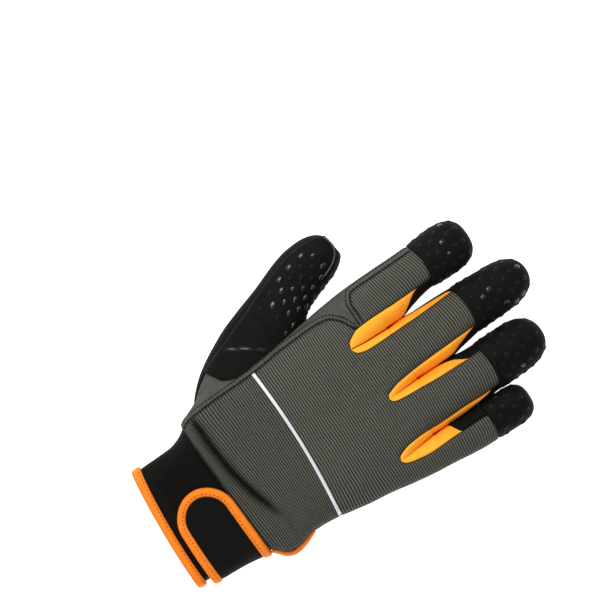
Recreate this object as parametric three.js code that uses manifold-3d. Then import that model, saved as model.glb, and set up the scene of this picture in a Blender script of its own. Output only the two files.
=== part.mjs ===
// Assembly glove, right hand, lying palm down. Millimetres, +Y to the fingertips, +Z up, thumb on the -X side.
// One shaped hand surface is cut along its seams into pattern pieces, and each piece gets its own cloth thickness.
import * as THREE from "three";
import Module from "manifold-3d";

const SEAM = 0.2; // half of the gap left at every seam
const CLOTH = 1.8; // ribbed fabric and suede
const STRETCH = 1.5; // gussets and finger sides
const NEOPRENE = 2.2; // cuff
const CROTCH = 2.6; // half the height of the web between two fingers
const CONTACT = 1.7; // the palm rests on its overlays, so the suede stays this high
const HEM = 38.8; // row where the cuff meets the wrist panel
const PALM_HEM = 50; // row where the cuff meets the suede, on the palm
const PIPING = 88.6; // row of the pale strip

const lerp = (a, b, t) => a + (b - a) * t;
const clamp = (v, lo, hi) => Math.min(hi, Math.max(lo, v));
const ease = (t) => {
  const c = clamp(t, 0, 1);
  return c * c * (3 - 2 * c);
};

// A smooth curve through the rows of a table, without overshoot. The first column is the row's place.
function curves(names, rows) {
  const made = {};
  names.slice(1).forEach((name, k) => {
    const x = rows.map((r) => r[0]);
    const v = rows.map((r) => r[k + 1]);
    const n = x.length;
    const slope = x.slice(1).map((_, i) => (v[i + 1] - v[i]) / (x[i + 1] - x[i]));
    const tangent = x.map((_, i) => {
      if (i === 0) return slope[0];
      if (i === n - 1) return slope[n - 2];
      const a = slope[i - 1];
      const b = slope[i];
      return a * b <= 0 ? 0 : (2 * a * b) / (a + b);
    });
    made[name] = (at) => {
      if (at <= x[0]) return v[0];
      if (at >= x[n - 1]) return v[n - 1];
      let i = 0;
      while (at > x[i + 1]) i++;
      const h = x[i + 1] - x[i];
      const t = (at - x[i]) / h;
      const t2 = t * t;
      const t3 = t2 * t;
      return (
        v[i] * (2 * t3 - 3 * t2 + 1) +
        tangent[i] * h * (t3 - 2 * t2 + t) +
        v[i + 1] * (3 * t2 - 2 * t3) +
        tangent[i + 1] * h * (t3 - t2)
      );
    };
  });
  return made;
}

// Outline of the hand seen from above.
const outline = curves(["y", "left", "right"], [
  [-4, -39.6, 35.0],
  [5, -40.2, 35.6],
  [15, -40.3, 36.0],
  [24, -40.5, 36.6],
  [31, -42.0, 37.6],
  [38, -45.3, 39.6],
  [42, -47.6, 42.0],
  [46, -49.4, 45.2],
  [50, -50.8, 46.3],
  [55.5, -52.4, 46.1],
  [61, -58.6, 45.2],
  [68, -60.0, 44.6],
  [74, -57.2, 44.8],
  [81, -54.4, 45.2],
  [88, -54.0, 46.0],
  [95, -54.0, 47.4],
  [104, -54.2, 49.4],
  [114, -54.8, 50.8],
  [125, -55.6, 53.0],
  [140, -57.4, 55.4],
  [155, -58.7, 57.0],
  [165, -59.0, 58.4],
  [175, -59.1, 59.4],
  [190, -59.1, 59.9],
  [200, -59.3, 60.3],
  [214, -60.4, 60.5],
]);

// Heights along the body: top of the back, line of the sides, underside of the palm.
const body = curves(["y", "top", "side", "under"], [
  [-4, 29, 16.5, 5.0],
  [20, 31, 17.0, 5.0],
  [38, 34.5, 17.0, 4.0],
  [50, 36, 17.0, 1.0],
  [70, 38.5, 17.5, -1.5],
  [90, 40.5, 18.0, -1.5],
  [112, 41, 18.6, -0.5],
  [130, 40, 19.0, 1.5],
]);
// The same along a finger, from the knuckle line (0) to its tip (1).
const finger = curves(["along", "top", "side", "under"], [
  [0, 40, 19.0, 1.5],
  [0.15, 38.5, 20.0, 5.0],
  [0.3, 35.5, 20.5, 8.0],
  [0.5, 31, 19.0, 7.5],
  [0.7, 27, 15.6, 4.6],
  [0.85, 24.8, 13.2, 2.4],
  [1, 23.5, 12.2, 1.8],
]);
const KNUCKLES = 130;
const tipLine = curves(["x", "y"], [
  [-59, 229],
  [-46, 231],
  [-11, 247.5],
  [22, 235.5],
  [49, 209.3],
  [60, 207],
]).y;

// How far each row bends away from straight, at the left, the middle and the right of the hand.
const bend = curves(["y", "left", "middle", "right"], [
  [-3.8, 4.2, 0, -0.8],
  [1.2, 4.8, 0, -0.4],
  [20, 1, 0, 0],
  [38.8, -1.8, 0, 1.4],
  [50, -6, 0, 2],
  [66, -2, 0, 0],
  [88.6, -0.6, 0, -4.6],
  [104, 0, 0, -2],
  [120, 0, 0, 0],
]);
function bent(x, y) {
  const t = x / 45;
  const [l, m, r] = [bend.left(y), bend.middle(y), bend.right(y)];
  return y + m + ((r - l) / 2) * t + ((l + r) / 2 - m) * t * t;
}

// The three slits between the fingers: where the back's notch starts, where the palm's crotch is, the line between
// the two fingers, and the edges of the ribbed panels on both sides of the orange.
const slits = [
  {
    notch: 141,
    crotch: 163.5,
    line: curves(["y", "x"], [
      [-4, -20.5],
      [38, -23.5],
      [88, -26.5],
      [141, -28.4],
      [150, -27.4],
      [163.5, -26.8],
    ]).x,
    panel: curves(["y", "left", "right"], [
      [141, -28.4, -28.4],
      [141.8, -31.6, -26],
      [144, -33.4, -24.5],
      [150, -36, -23.4],
      [160, -36.4, -23.3],
      [175, -36, -23.5],
      [191, -36, -23.9],
      [206, -36.4, -24.4],
      [228, -38, -21.5],
    ]),
    orange: curves(["y", "left", "right"], [
      [172, 1, 1],
      [180, 0.62, 1],
      [191, 0, 0.72],
      [198, 0, 0.42],
      [205, 0, 0],
    ]),
  },
  {
    notch: 143.3,
    crotch: 161.5,
    line: curves(["y", "x"], [
      [-4, -2],
      [38, 0],
      [88, 3],
      [143.3, 6.3],
      [161.5, 5.8],
    ]).x,
    panel: curves(["y", "left", "right"], [
      [143.3, 6.3, 6.3],
      [144, 4.2, 8],
      [146, 3.4, 9],
      [152, 1.8, 9.8],
      [162, 0.9, 10.6],
      [175, 0.2, 11.6],
      [190, -0.2, 12],
      [206, -0.5, 11.6],
      [228, -2.5, 12.5],
    ]),
    orange: curves(["y", "left", "right"], [
      [170, 1, 1],
      [184, 0.75, 0.5],
      [193, 0.45, 0],
      [205, 0, 0],
    ]),
  },
  {
    notch: 129.5,
    crotch: 151.5,
    line: curves(["y", "x"], [
      [-4, 16.5],
      [38, 20],
      [88, 28],
      [129.5, 38.4],
      [135, 38.2],
      [140, 37.6],
      [151.5, 36.8],
    ]).x,
    panel: curves(["y", "left", "right"], [
      [129.5, 38.4, 38.4],
      [130.2, 36.4, 40.3],
      [132, 35.5, 41.4],
      [138, 33.8, 42.9],
      [148, 33.3, 44],
      [160, 34, 43.6],
      [175, 34, 43.7],
      [190, 34.6, 44.4],
      [216, 32, 44.4],
    ]),
    orange: curves(["y", "left", "right"], [
      [161.5, 1, 1],
      [166.5, 0.9, 0],
      [180, 0.5, 0],
      [193, 0, 0],
    ]),
  },
];

// Each finger: its own edges past the crotch, where its tip starts to round, the tip, how square the tip is,
// the row where the black cap starts, and its rows past the crotch.
const fingers = [
  {
    name: "index",
    round: 213,
    tip: 231,
    square: 2.7,
    cap: 200,
    right: curves(["y", "x"], [
      [163.5, -27.0],
      [176, -27.5],
      [185, -29.5],
      [192, -31.0],
      [200, -31.9],
      [206, -31.5],
      [222, -31.2],
    ]).x,
    rows: [168, 172, 180, 191, 200, 206, 213],
  },
  {
    name: "middle",
    round: 226,
    tip: 247.5,
    square: 2.3,
    cap: 206.8,
    left: curves(["y", "x"], [
      [163.5, -26.6],
      [176, -26.9],
      [190, -26.8],
      [200, -26.5],
      [215, -25.5],
      [226, -24.8],
    ]).x,
    right: curves(["y", "x"], [
      [161.5, 5.6],
      [178, 5.9],
      [188, 6.2],
      [195, 5.4],
      [202, 4.4],
      [210, 3.3],
      [226, 3.1],
    ]).x,
    rows: [168, 175, 184, 195, 205, 206.8, 216, 226],
  },
  {
    name: "ring",
    round: 216,
    tip: 235.5,
    square: 2.3,
    cap: 200,
    left: curves(["y", "x"], [
      [161.5, 6.0],
      [178, 6.3],
      [190, 6.9],
      [200, 7.4],
      [222, 7.7],
    ]).x,
    right: curves(["y", "x"], [
      [151.5, 36.6],
      [175, 36.9],
      [190, 37.1],
      [204, 37.1],
      [216, 36.8],
    ]).x,
    rows: [168, 175, 184, 193, 200, 208, 216],
  },
  {
    name: "little",
    round: 195,
    tip: 209.3,
    square: 2.9,
    cap: 183,
    left: curves(["y", "x"], [
      [151.5, 37.0],
      [175, 37.3],
      [190, 37.6],
      [204, 37.8],
    ]).x,
    rows: [166.5, 174, 183, 189, 195],
  },
];
const bodyRows = [
  -3.8, 1.2, 14, 27, 38.8, 42, 46, 50, 54, 61, 74, 88.6, 101, 115, 129.5, 130.4, 133.5, 141, 141.9, 143.3, 144.2, 147,
  149, 151.5, 154.8, 161.5, 163.5,
];
const DOME = [0.5, 0.85, 1];
const PANEL = 3; // cells across a panel in one finger's lane

// The edges of a finger's lane at a row, with the rounding of its tip.
function lane(i, y) {
  const f = fingers[i];
  const q = clamp((y - f.round) / (f.tip - f.round), 0, 1);
  const closing = (1 - q ** f.square) ** (1 / f.square);
  const at = Math.min(y, f.round);
  const open = (k) => at > slits[k].crotch;
  const left = i === 0 ? outline.left(at) : open(i - 1) ? f.left(at) : slits[i - 1].line(at);
  const right = i === 3 ? outline.right(at) : open(i) ? f.right(at) : slits[i].line(at);
  const middle = (left + right) / 2;
  const half = ((right - left) / 2) * closing;
  return { left: middle - half, right: middle + half, half, closing };
}

// How deep the groove of a slit is at a row: 0 at its start, nearly down to the side line at the crotch.
function groove(k, y, upper, reach) {
  const s = slits[k];
  if (y > s.crotch) return 1;
  const start = upper ? s.notch : s.crotch - 12;
  const t = clamp((y - start) / (s.crotch - start), 0, 1);
  return (1 - CROTCH / reach) * t ** (upper ? 0.85 : 1.4);
}

// How full the section is at a distance from its edge: 0 at the edge, 1 from the shoulder on.
function shoulder(distance, wide, p) {
  const t = clamp(distance / Math.max(wide, 1e-6), 0, 1);
  return (1 - (1 - t) ** p) ** (1 / p);
}

// Height of the hand's upper or under surface in a finger's lane.
function height(i, x, y, upper) {
  const edge = lane(i, y);
  const along = (y - KNUCKLES) / (tipLine(x) - KNUCKLES);
  const table = y <= KNUCKLES ? body : finger;
  const at = y <= KNUCKLES ? y : along;
  const side = table.side(at);
  const reach = upper ? table.top(at) - side : side - table.under(at);
  const turn = ease((y - 118) / 48);
  const p = lerp(upper ? 2.7 : 2.9, 2.15, turn);
  const whole = (outline.right(y) - outline.left(y)) / 2;
  const outer = lerp(whole, 14.6 * edge.closing, turn);
  const grooved = (k) => {
    const s = slits[k];
    const wide = lerp(7, 14.6 * edge.closing, ease((y - s.notch) / (s.crotch + 10 - s.notch)));
    return [groove(k, y, upper, reach), Math.min(wide, edge.half)];
  };
  const left = i === 0 ? edge.left : outline.left(y);
  const right = i === 3 ? edge.right : outline.right(y);
  let full = shoulder(x - left, outer, p) * shoulder(right - x, outer, p);
  if (i > 0) {
    const [m, wide] = grooved(i - 1);
    full *= 1 - m * (1 - shoulder(x - edge.left, wide, 2.15));
  }
  if (i < 3) {
    const [m, wide] = grooved(i);
    full *= 1 - m * (1 - shoulder(edge.right - x, wide, 2.15));
  }
  let z = side + (upper ? 1 : -1) * reach * full * edge.closing;
  if (upper) z += folds(x, y) * ease(full * 1.6 - 0.5);
  return upper ? z : Math.max(z, CONTACT);
}

// The crease and the puffed ridge above the wrist hem, and the soft hollows over the back.
function folds(x, y) {
  const dip = (at, wide) => Math.exp(-(((y - at) / wide) ** 2));
  return (
    -3.2 * dip(50, 3.2) +
    1.3 * dip(44, 3.4) +
    1.0 * dip(58, 6) -
    0.9 * dip(86, 9) * (1 - (x / 60) ** 2) +
    0.5 * Math.sin(x / 9 + y / 23) * dip(118, 26)
  );
}

const point = (i, x, y, upper) => [x, bent(x, y), height(i, x, y, upper)];

// Places across a lane at a row, one list for each group of columns.
// Above: side strip, orange strip, panel, orange strip, side strip. Below: side strip, palm, side strip.
const seamBelow = curves(["y", "x"], [
  [-4, -33],
  [30, -36],
  [38.8, -43.4],
  [60, -47.4],
  [88, -48.2],
  [110, -50.4],
  [130, -51],
  [138, -50],
  [144, -45.4],
  [149, -36.1],
]).x;
const seamAbove = curves(["y", "x"], [
  [154.8, -50],
  [157.5, -54.6],
  [161, -55.5],
  [191, -55.6],
  [213, -56.5],
]).x;

function across(i, y, upper) {
  const { left, right, half, closing } = lane(i, y);
  const at = Math.min(y, fingers[i].round);
  const middle = (left + right) / 2;
  const pull = (x) => (y > fingers[i].round ? middle + (x - middle) * closing : x);
  const strip = (edge, inner, from, to, n, split) => {
    const wide = Math.max(half, 1e-6);
    const turn = Math.acos(clamp(1 - Math.abs(inner - edge) / wide, -1, 1));
    return Array.from({ length: n + 1 }, (_, j) => {
      const t = lerp(from, to, j / n);
      const d = split ? wide * (1 - Math.cos(turn * t)) : Math.abs(inner - edge) * t;
      return edge + Math.sign(inner - edge) * d;
    });
  };
  const even = (a, b, n) => Array.from({ length: n + 1 }, (_, j) => lerp(a, b, j / n));
  const leftOpen = i > 0 && y > slits[i - 1].crotch;
  const rightOpen = i < 3 && y > slits[i].crotch;
  if (upper) {
    let l = left;
    let r = right;
    if (i > 0 && y > slits[i - 1].notch) l = Math.max(left, pull(slits[i - 1].panel.right(at)));
    if (i < 3 && y > slits[i].notch) r = Math.min(right, pull(slits[i].panel.left(at)));
    if (i === 0) l = Math.min(pull(y < 152 ? seamBelow(at) : seamAbove(at)), r);
    const fromLeft = i > 0 ? 1 - slits[i - 1].orange.right(y) : 1;
    const fromRight = i < 3 ? 1 - slits[i].orange.left(y) : 1;
    const n = 2;
    return [
      strip(left, l, 0, i === 0 ? 1 : fromLeft, n, i === 0 || leftOpen),
      i === 0 ? [l, l] : strip(left, l, fromLeft, 1, n, leftOpen),
      even(l, r, PANEL),
      i === 3 ? [r, r] : strip(right, r, fromRight, 1, n, rightOpen).reverse(),
      strip(right, r, 0, i === 3 ? 1 : fromRight, n, i === 3 || rightOpen).reverse(),
    ];
  }
  const widen = (k) => clamp((y - slits[k].crotch) / 5, 0, 1) * 5.5;
  const l = i === 0 ? left + Math.min(9, half * 0.6) : left + widen(i - 1) * closing;
  const r = i === 3 ? right - Math.min(5.5, half * 0.5) : right - widen(i) * closing;
  return [
    strip(left, l, 0, 1, i === 0 ? 3 : 2, i === 0 || leftOpen),
    even(l, r, PANEL),
    strip(right, r, 0, 1, 2, i === 3 || rightOpen).reverse(),
  ];
}

// Which pattern piece a cell belongs to, from its lane, its group of columns and the row where it starts.
const gussetNames = ["gusset_index_middle", "gusset_middle_ring", "gusset_ring_little"];
const fourchetteNames = ["fourchette_index_middle", "fourchette_middle_ring", "fourchette_ring_little"];
function pieceOf(i, group, y, upper) {
  const f = fingers[i];
  if (y >= f.cap) return f.name + "_fingertip";
  if (y < 1.2) return "cuff_binding";
  if (y < (upper ? HEM : PALM_HEM)) return "cuff";
  if (upper) {
    if (group === 0) return i === 0 ? "palm_panel" : fourchetteNames[i - 1];
    if (group === 1) return i === 0 ? null : gussetNames[i - 1];
    if (group === 3) return i === 3 ? null : gussetNames[i];
    if (group === 4 && i < 3) return fourchetteNames[i];
    if (i === 0 && y >= 149) return y < 154.8 ? "palm_panel" : "index_back_panel";
    return y < PIPING ? "wrist_panel" : "back_panel";
  }
  if (group === 0 && i > 0) return fourchetteNames[i - 1];
  if (group === 2 && i < 3) return fourchetteNames[i];
  if (group === 2 && i === 3 && y >= PALM_HEM) return y < PIPING ? "wrist_panel" : "back_panel";
  return "palm_panel";
}

const key = (p) => p.map((v) => Math.round(v * 500)).join();

// Collects the cells of each piece; a cell is four corners, in order round the outside.
const pieces = new Map();
function addCell(name, corners) {
  if (!name) return;
  if (!pieces.has(name)) pieces.set(name, []);
  pieces.get(name).push(corners);
}
for (let i = 0; i < 4; i++) {
  const f = fingers[i];
  const domes = DOME.map((q) => lerp(f.round, f.tip, q));
  const rows = [...bodyRows, ...f.rows, ...domes];
  for (const upper of [true, false]) {
    rows.slice(1).forEach((y1, j) => {
      const y0 = rows[j];
      const below = across(i, y0, upper);
      const above = across(i, y1, upper);
      below.forEach((xs0, group) => {
        const xs1 = above[group];
        const name = pieceOf(i, group, y0, upper);
        const open = !upper && i === 3 && group === 2 && y0 < PALM_HEM;
        for (let c = 0; c + 1 < xs0.length; c++) {
          const corners = [
            point(i, xs0[c], y0, upper),
            point(i, xs0[c + 1], y0, upper),
            point(i, xs1[c + 1], y1, upper),
            point(i, xs1[c], y1, upper),
          ];
          addCell(open ? "vent" : name, upper ? corners : corners.reverse());
        }
      });
    });
  }
}
// The web at each crotch: two small faces that join the two black finger sides.
slits.forEach((s, k) => {
  const next = [k, k + 1].map((i) => [...bodyRows, ...fingers[i].rows].find((y) => y > s.crotch));
  const x = s.line(s.crotch);
  const floor = point(k, x, s.crotch, true);
  const roof = point(k, x, s.crotch, false);
  const leftSide = point(k, lane(k, next[0]).right, next[0], true);
  const rightSide = point(k + 1, lane(k + 1, next[1]).left, next[1], true);
  addCell(fourchetteNames[k], [floor, roof, leftSide, leftSide]);
  addCell(fourchetteNames[k], [floor, rightSide, roof, roof]);
});

// Corner points and triangles of some cells, with each point's outward direction.
function mesh(cells) {
  const points = [];
  const index = new Map();
  const triangles = [];
  const normals = [];
  const find = (p) => {
    const k = key(p);
    if (!index.has(k)) {
      index.set(k, points.length);
      points.push(new THREE.Vector3(...p));
      normals.push(new THREE.Vector3());
    }
    return index.get(k);
  };
  const face = (a, b, c) => {
    if (a === b || b === c || a === c) return;
    triangles.push([a, b, c]);
    const u = points[b].clone().sub(points[a]);
    const v = points[c].clone().sub(points[a]);
    const n = u.cross(v);
    [a, b, c].forEach((v) => normals[v].add(n));
  };
  for (const corners of cells) {
    const [a, b, c, d] = corners.map(find);
    if (c === d) face(a, b, c);
    else if (points[a].distanceTo(points[c]) <= points[b].distanceTo(points[d])) {
      face(a, b, c);
      face(a, c, d);
    } else {
      face(b, c, d);
      face(b, d, a);
    }
  }
  normals.forEach((n) => n.normalize());
  return { points, triangles, normals };
}

// The border of some triangles: its directed edges, and for each the direction into the piece along its face.
function border(points, triangles) {
  const faceOf = new Map();
  for (const t of triangles) t.forEach((a, k) => faceOf.set(`${a},${t[(k + 1) % 3]}`, t));
  const rim = [];
  const side = [];
  for (const [edge, [i, j, k]] of faceOf) {
    const [a, b] = edge.split(",").map(Number);
    if (faceOf.has(`${b},${a}`)) continue;
    const along = points[b].clone().sub(points[a]).normalize();
    const n = points[j].clone().sub(points[i]).cross(points[k].clone().sub(points[i]));
    rim.push([a, b]);
    side.push(n.cross(along).normalize());
  }
  return { rim, side };
}

// One closed cloth piece from surface cells: drawn in at its edge, lifted off the surface, then given its thickness.
function cloth(cells, lift, thick, shared, edge = SEAM) {
  const { points, triangles, normals } = mesh(cells);
  if (shared)
    points.forEach((p, v) => {
      const n = shared.get(key(p.toArray()));
      if (n) normals[v].copy(n);
    });
  const { rim, side } = border(points, triangles);
  const inward = points.map(() => []);
  rim.forEach(([a, b], e) => {
    for (const v of [a, b]) inward[v].push(side[e]);
  });
  const placed = points.map((p, v) => {
    if (inward[v].length < 2) return p.clone();
    const [m, n] = inward[v];
    const size = edge / Math.max(1 + m.dot(n), 0.35);
    return p.clone().addScaledVector(m, size).addScaledVector(n, size);
  });
  const size = (value, p) => (typeof value === "function" ? value(p.y) : value);
  const at = [];
  placed.forEach((p, v) => at.push(...p.clone().addScaledVector(normals[v], size(lift, p)).toArray()));
  placed.forEach((p, v) => {
    const inner = size(lift, p) - size(thick, p);
    at.push(...p.clone().addScaledVector(normals[v], inner).toArray());
  });
  const n = points.length;
  const faces = triangles.flatMap(([a, b, c]) => [a, b, c, n + c, n + b, n + a]);
  for (const [a, b] of rim) faces.push(b, a, n + a, b, n + a, n + b);
  return { at, faces };
}

const wasm = await Module();
wasm.setup();
const solid = ({ at, faces }) =>
  new wasm.Manifold(
    new wasm.Mesh({ numProp: 3, vertProperties: new Float32Array(at), triVerts: new Uint32Array(faces) }),
  );
function fromSolid(made) {
  const m = made.getMesh();
  const at = [];
  for (let v = 0; v < m.numVert; v++) at.push(...m.vertProperties.subarray(v * m.numProp, v * m.numProp + 3));
  return { at, faces: [...m.triVerts] };
}

// The thumb: oval rings along a bent axis, from inside the palm to the rounded tip.
const thumbRings = curves(["along", "x", "y", "z", "wide", "high"], [
  [0, -41.5, 65, 17, 14.5, 11],
  [0.1, -49, 74.5, 16, 19, 12.2],
  [0.25, -57.5, 91.5, 14.8, 20, 12.6],
  [0.42, -66.5, 110.5, 13.8, 18.2, 12.2],
  [0.6, -75.5, 127, 13, 14.6, 11.4],
  [0.78, -80.8, 142, 12.6, 14.2, 11],
  [0.86, -82.3, 149.5, 12.4, 13.4, 10.8],
  [1, -84.6, 165.5, 12, 12.6, 10.4],
]);
const THUMB_ROUND = 0.84;
const thumbTop = curves(["along", "at"], [
  [0, 0.1],
  [0.12, 0.18],
  [0.3, 0.24],
  [0.6, 0.25],
  [1, 0.27],
]).at;
function thumbRing(u) {
  const q = clamp((u - THUMB_ROUND) / (1 - THUMB_ROUND), 0, 1);
  const closing = (1 - q ** 2.3) ** (1 / 2.3);
  const c = new THREE.Vector3(thumbRings.x(u), thumbRings.y(u), thumbRings.z(u));
  const a = Math.min(u, 0.97);
  const ahead = new THREE.Vector3(thumbRings.x(a + 0.02) - thumbRings.x(a - 0.02), thumbRings.y(a + 0.02) - thumbRings.y(a - 0.02), 0);
  ahead.normalize();
  const out = new THREE.Vector3(-ahead.y, ahead.x, 0);
  return { c, out, wide: thumbRings.wide(u) * closing, high: thumbRings.high(u) * closing };
}
// A place on the thumb; turn 0 is the outer side, 0.25 the top, 0.5 the side towards the palm.
function thumbPoint(u, turn) {
  const { c, out, wide, high } = thumbRing(u);
  const angle = turn * 2 * Math.PI;
  const p = c.clone().addScaledVector(out, wide * Math.cos(angle));
  p.z += high * Math.sin(angle);
  return p.toArray();
}
const thumbRows = [0, 0.1, 0.18, 0.27, 0.36, 0.45, 0.54, 0.63, 0.72, 0.8, 0.84, 0.91, 0.96, 0.985, 1];
function thumbCells(from, to, n, rows) {
  const cells = [];
  rows.slice(1).forEach((u1, j) => {
    const u0 = rows[j];
    for (let c = 0; c < n; c++) {
      const turn = (u, k) => lerp(from(u), to(u), k / n);
      cells.push([
        thumbPoint(u0, turn(u0, c)),
        thumbPoint(u0, turn(u0, c + 1)),
        thumbPoint(u1, turn(u1, c + 1)),
        thumbPoint(u1, turn(u1, c)),
      ]);
    }
  });
  return cells;
}
const topSeam = (u) => thumbTop(u) / 2;
const underSeam = () => -0.14;
const backCells = thumbCells(underSeam, topSeam, 6, thumbRows);
const frontCells = thumbCells(topSeam, () => 1 + underSeam(), 9, thumbRows);

const wholeThumb = [...backCells, ...frontCells];
const wholeHand = [...pieces.values()].flat();
pieces.delete("vent");
const shared = new Map();
for (const cells of [wholeHand, wholeThumb]) {
  const { points, normals } = mesh(cells);
  points.forEach((p, v) => shared.set(key(p.toArray()), normals[v]));
}

// A whole body with its open end closed to a middle point, a seam's gap bigger than the cloth surface.
function wholeBody(cells, lift) {
  const { points, triangles, normals } = mesh(cells);
  const { rim } = border(points, triangles);
  const middle = new THREE.Vector3();
  rim.forEach(([a]) => middle.addScaledVector(points[a], 1 / rim.length));
  const at = [];
  points.forEach((p, v) => at.push(...p.clone().addScaledVector(normals[v], lift).toArray()));
  at.push(...middle.toArray());
  return solid({ at, faces: [...triangles.flat(), ...rim.flatMap(([a, b]) => [b, a, points.length])] });
}
const handBody = wholeBody(wholeHand, 2 * SEAM);
const thumbBody = wholeBody(wholeThumb, 2 * SEAM);

// Places on the surface beside the hand's right edge, by the length walked from the side line: over the back when
// positive, under the palm when negative.
function rightWalk(y) {
  const made = { true: [], false: [] };
  const edge = lane(3, y).right;
  for (const upper of [true, false]) {
    let length = 0;
    let last = null;
    for (let k = 0; k <= 60; k++) {
      const x = edge - 72 * (1 - Math.cos((k / 60) * 1.4));
      const p = new THREE.Vector3(...point(laneOf(y, x), x, y, upper));
      if (last) length += p.distanceTo(last);
      made[upper].push([length, x, p]);
      last = p;
    }
  }
  const between = (list, at, column) => {
    let k = 0;
    while (k < list.length - 2 && at > list[k + 1][column]) k++;
    return [k, clamp((at - list[k][column]) / (list[k + 1][column] - list[k][column]), 0, 1)];
  };
  const place = (a) => {
    const list = made[a >= 0];
    const [k, t] = between(list, Math.abs(a), 0);
    return list[k][2].clone().lerp(list[k + 1][2], t).toArray();
  };
  const lengthTo = (x) => {
    const list = made[true].map(([length, at, p]) => [length, edge - at, p]);
    const [k, t] = between(list, edge - x, 1);
    return lerp(list[k][0], list[k + 1][0], t);
  };
  return { place, lengthTo };
}
function laneOf(y, x) {
  let i = 0;
  while (i < 3 && x > slits[i].line(y)) i++;
  return i;
}

// A grid of cells from a function of row and column; both run so that the cell faces out.
function grid(rows, columns, place) {
  const cells = [];
  for (let r = 0; r < rows; r++)
    for (let c = 0; c < columns; c++)
      cells.push([place(r, c), place(r, c + 1), place(r + 1, c + 1), place(r + 1, c)]);
  return cells;
}
const flip = (cells) => cells.map((corners) => [...corners].reverse());
// Cells between two edges on one surface: each row has its place along the hand and its left and right edges.
function overlay(upper, rows, columns, only) {
  const cells = grid(rows.length - 1, columns, (r, c) => {
    const [y, left, right] = rows[r];
    const x = lerp(left, right, c / columns);
    return point(only ?? laneOf(y, x), x, y, upper);
  });
  return upper ? cells : flip(cells);
}
// A ring of cells on the palm between two ovals.
function ovalRing(x, y, inner, outer, columns, n) {
  const place = (r, c) => {
    const angle = ((r % n) / n) * 2 * Math.PI;
    const t = c / columns;
    const px = lerp(inner[0] + inner[2] * Math.cos(angle), outer[0] + outer[2] * Math.cos(angle), t);
    const py = lerp(inner[1] + inner[3] * Math.sin(angle), outer[1] + outer[3] * Math.sin(angle), t);
    return point(laneOf(y + py, x + px), x + px, y + py, false);
  };
  return flip(grid(n, columns, place));
}

// The closing strap: a band with one rounded end that folds round the right edge and ends under the cuff.
const STRAP = { x: 5, y: 22.1, inner: 12.4, outer: 17.4, under: -26 };
const strapRows = [-12.4, -11.2, -8, 0, 8, 11.2, 12.4];
const strapCells = grid(strapRows.length - 1, 13, (r, c) => {
  const y = STRAP.y + strapRows[r];
  const tip = STRAP.x - Math.sqrt(STRAP.inner ** 2 - strapRows[r] ** 2);
  const walk = rightWalk(y);
  return walk.place(lerp(walk.lengthTo(tip), STRAP.under, c / 13));
});
const straight = [1, 0.85, 0.72, 0.6, 0.48, 0.36, 0.24, 0.12];
const strapPath = [
  ...straight.map((t) => [t, -1]),
  ...Array.from({ length: 9 }, (_, k) => [0, -1 + k / 4]),
  ...[...straight].reverse().map((t) => [t, 1]),
];
const bindingCells = grid(strapPath.length - 1, 2, (r, c) => {
  const [away, turn] = strapPath[r];
  const radius = lerp(STRAP.outer, STRAP.inner + 0.2, c / 2);
  const angle = (turn * Math.PI) / 2;
  const y = STRAP.y + radius * Math.sin(angle);
  const walk = rightWalk(y);
  const start = walk.lengthTo(STRAP.x - radius * Math.cos(angle));
  return walk.place(away === 0 ? start : lerp(walk.lengthTo(STRAP.x), STRAP.under, away));
});

// The bound edge that shows beside the wrist panel, bulging out between its ends.
const ventLift = curves(["y", "lift"], [
  [39, 1.3],
  [44, 2.4],
  [50, 3.2],
  [57, 2.9],
  [63, 2],
  [68, 1.1],
]).lift;
const ventRows = [42.5, 44.5, 46.5, 50, 53.5, 57, 61, 64.5, 67.3];
const ventCells = grid(ventRows.length - 1, 4, (r, c) => rightWalk(ventRows[r]).place(lerp(4.4, -1.2, c / 4)));

// The knuckle overlay follows the palm strips of three fingers, and ends in a rounded tongue on each.
const tongues = [null, [168, 174, 180, 184, 186, 187], [167, 171, 174.5, 176.5, 177.5], [164.5, 166.7, 168]];
const knuckleCells = [1, 2, 3].flatMap((i) => {
  const ends = tongues[i];
  const rows = [...bodyRows.filter((y) => y >= 130.4), ...ends];
  const top = ends[ends.length - 1];
  return flip(
    grid(rows.length - 1, PANEL, (r, c) => {
      const y = rows[r];
      const xs = across(i, y, false)[1];
      const round = Math.sqrt(Math.max(0, 1 - clamp((y - (top - 7)) / 7.6, 0, 1) ** 2));
      const middle = (xs[0] + xs[PANEL]) / 2;
      return point(i, middle + (xs[c] - middle) * round, y, false);
    }),
  );
});

const thenarCells = overlay(false, [
  [60.5, -31, -24],
  [63.5, -35, -19],
  [70, -38.5, -14.5],
  [80, -40.5, -12],
  [92, -41, -11],
  [102, -40.5, -12],
  [109, -38.5, -14.5],
  [114, -35, -18.5],
  [117, -30.5, -24],
], 5);
const palmPatchCells = overlay(false, [
  [55, 3, 30],
  [59, -1, 35],
  [66, -4.5, 37],
  [80, -6, 38.5],
  [100, -6.5, 40],
  [112, -9.5, 42],
  [119, -17, 43.5],
  [127.5, -21, 45],
], 8);
const indexPatchCells = overlay(false, [
  [119.5, -42, -35],
  [123, -46, -32],
  [132, -49.5, -31],
  [140, -51, -31],
  [150, -52, -32],
  [158, -52.5, -34],
  [168, -53, -35.2],
  [178, -53, -36],
  [182.5, -51, -38],
  [184.5, -47, -42],
], 4, 0);
const pullTabCells = overlay(false, [
  [3.5, -11, 5],
  [7, -13, 7],
  [14, -12.4, 6.4],
  [21, -10, 4],
  [30, -10, 4],
  [38.8, -10, 4],
  [42, -10, 4],
  [46, -10, 4],
  [49.3, -10, 4],
], 3);
const BADGE = { x: -3, y: 12.5 };
const badgeCells = ovalRing(BADGE.x, BADGE.y, [0, -1.6, 5.6, 5.9], [0, 0, 8.4, 9.2], 1, 24);
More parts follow.
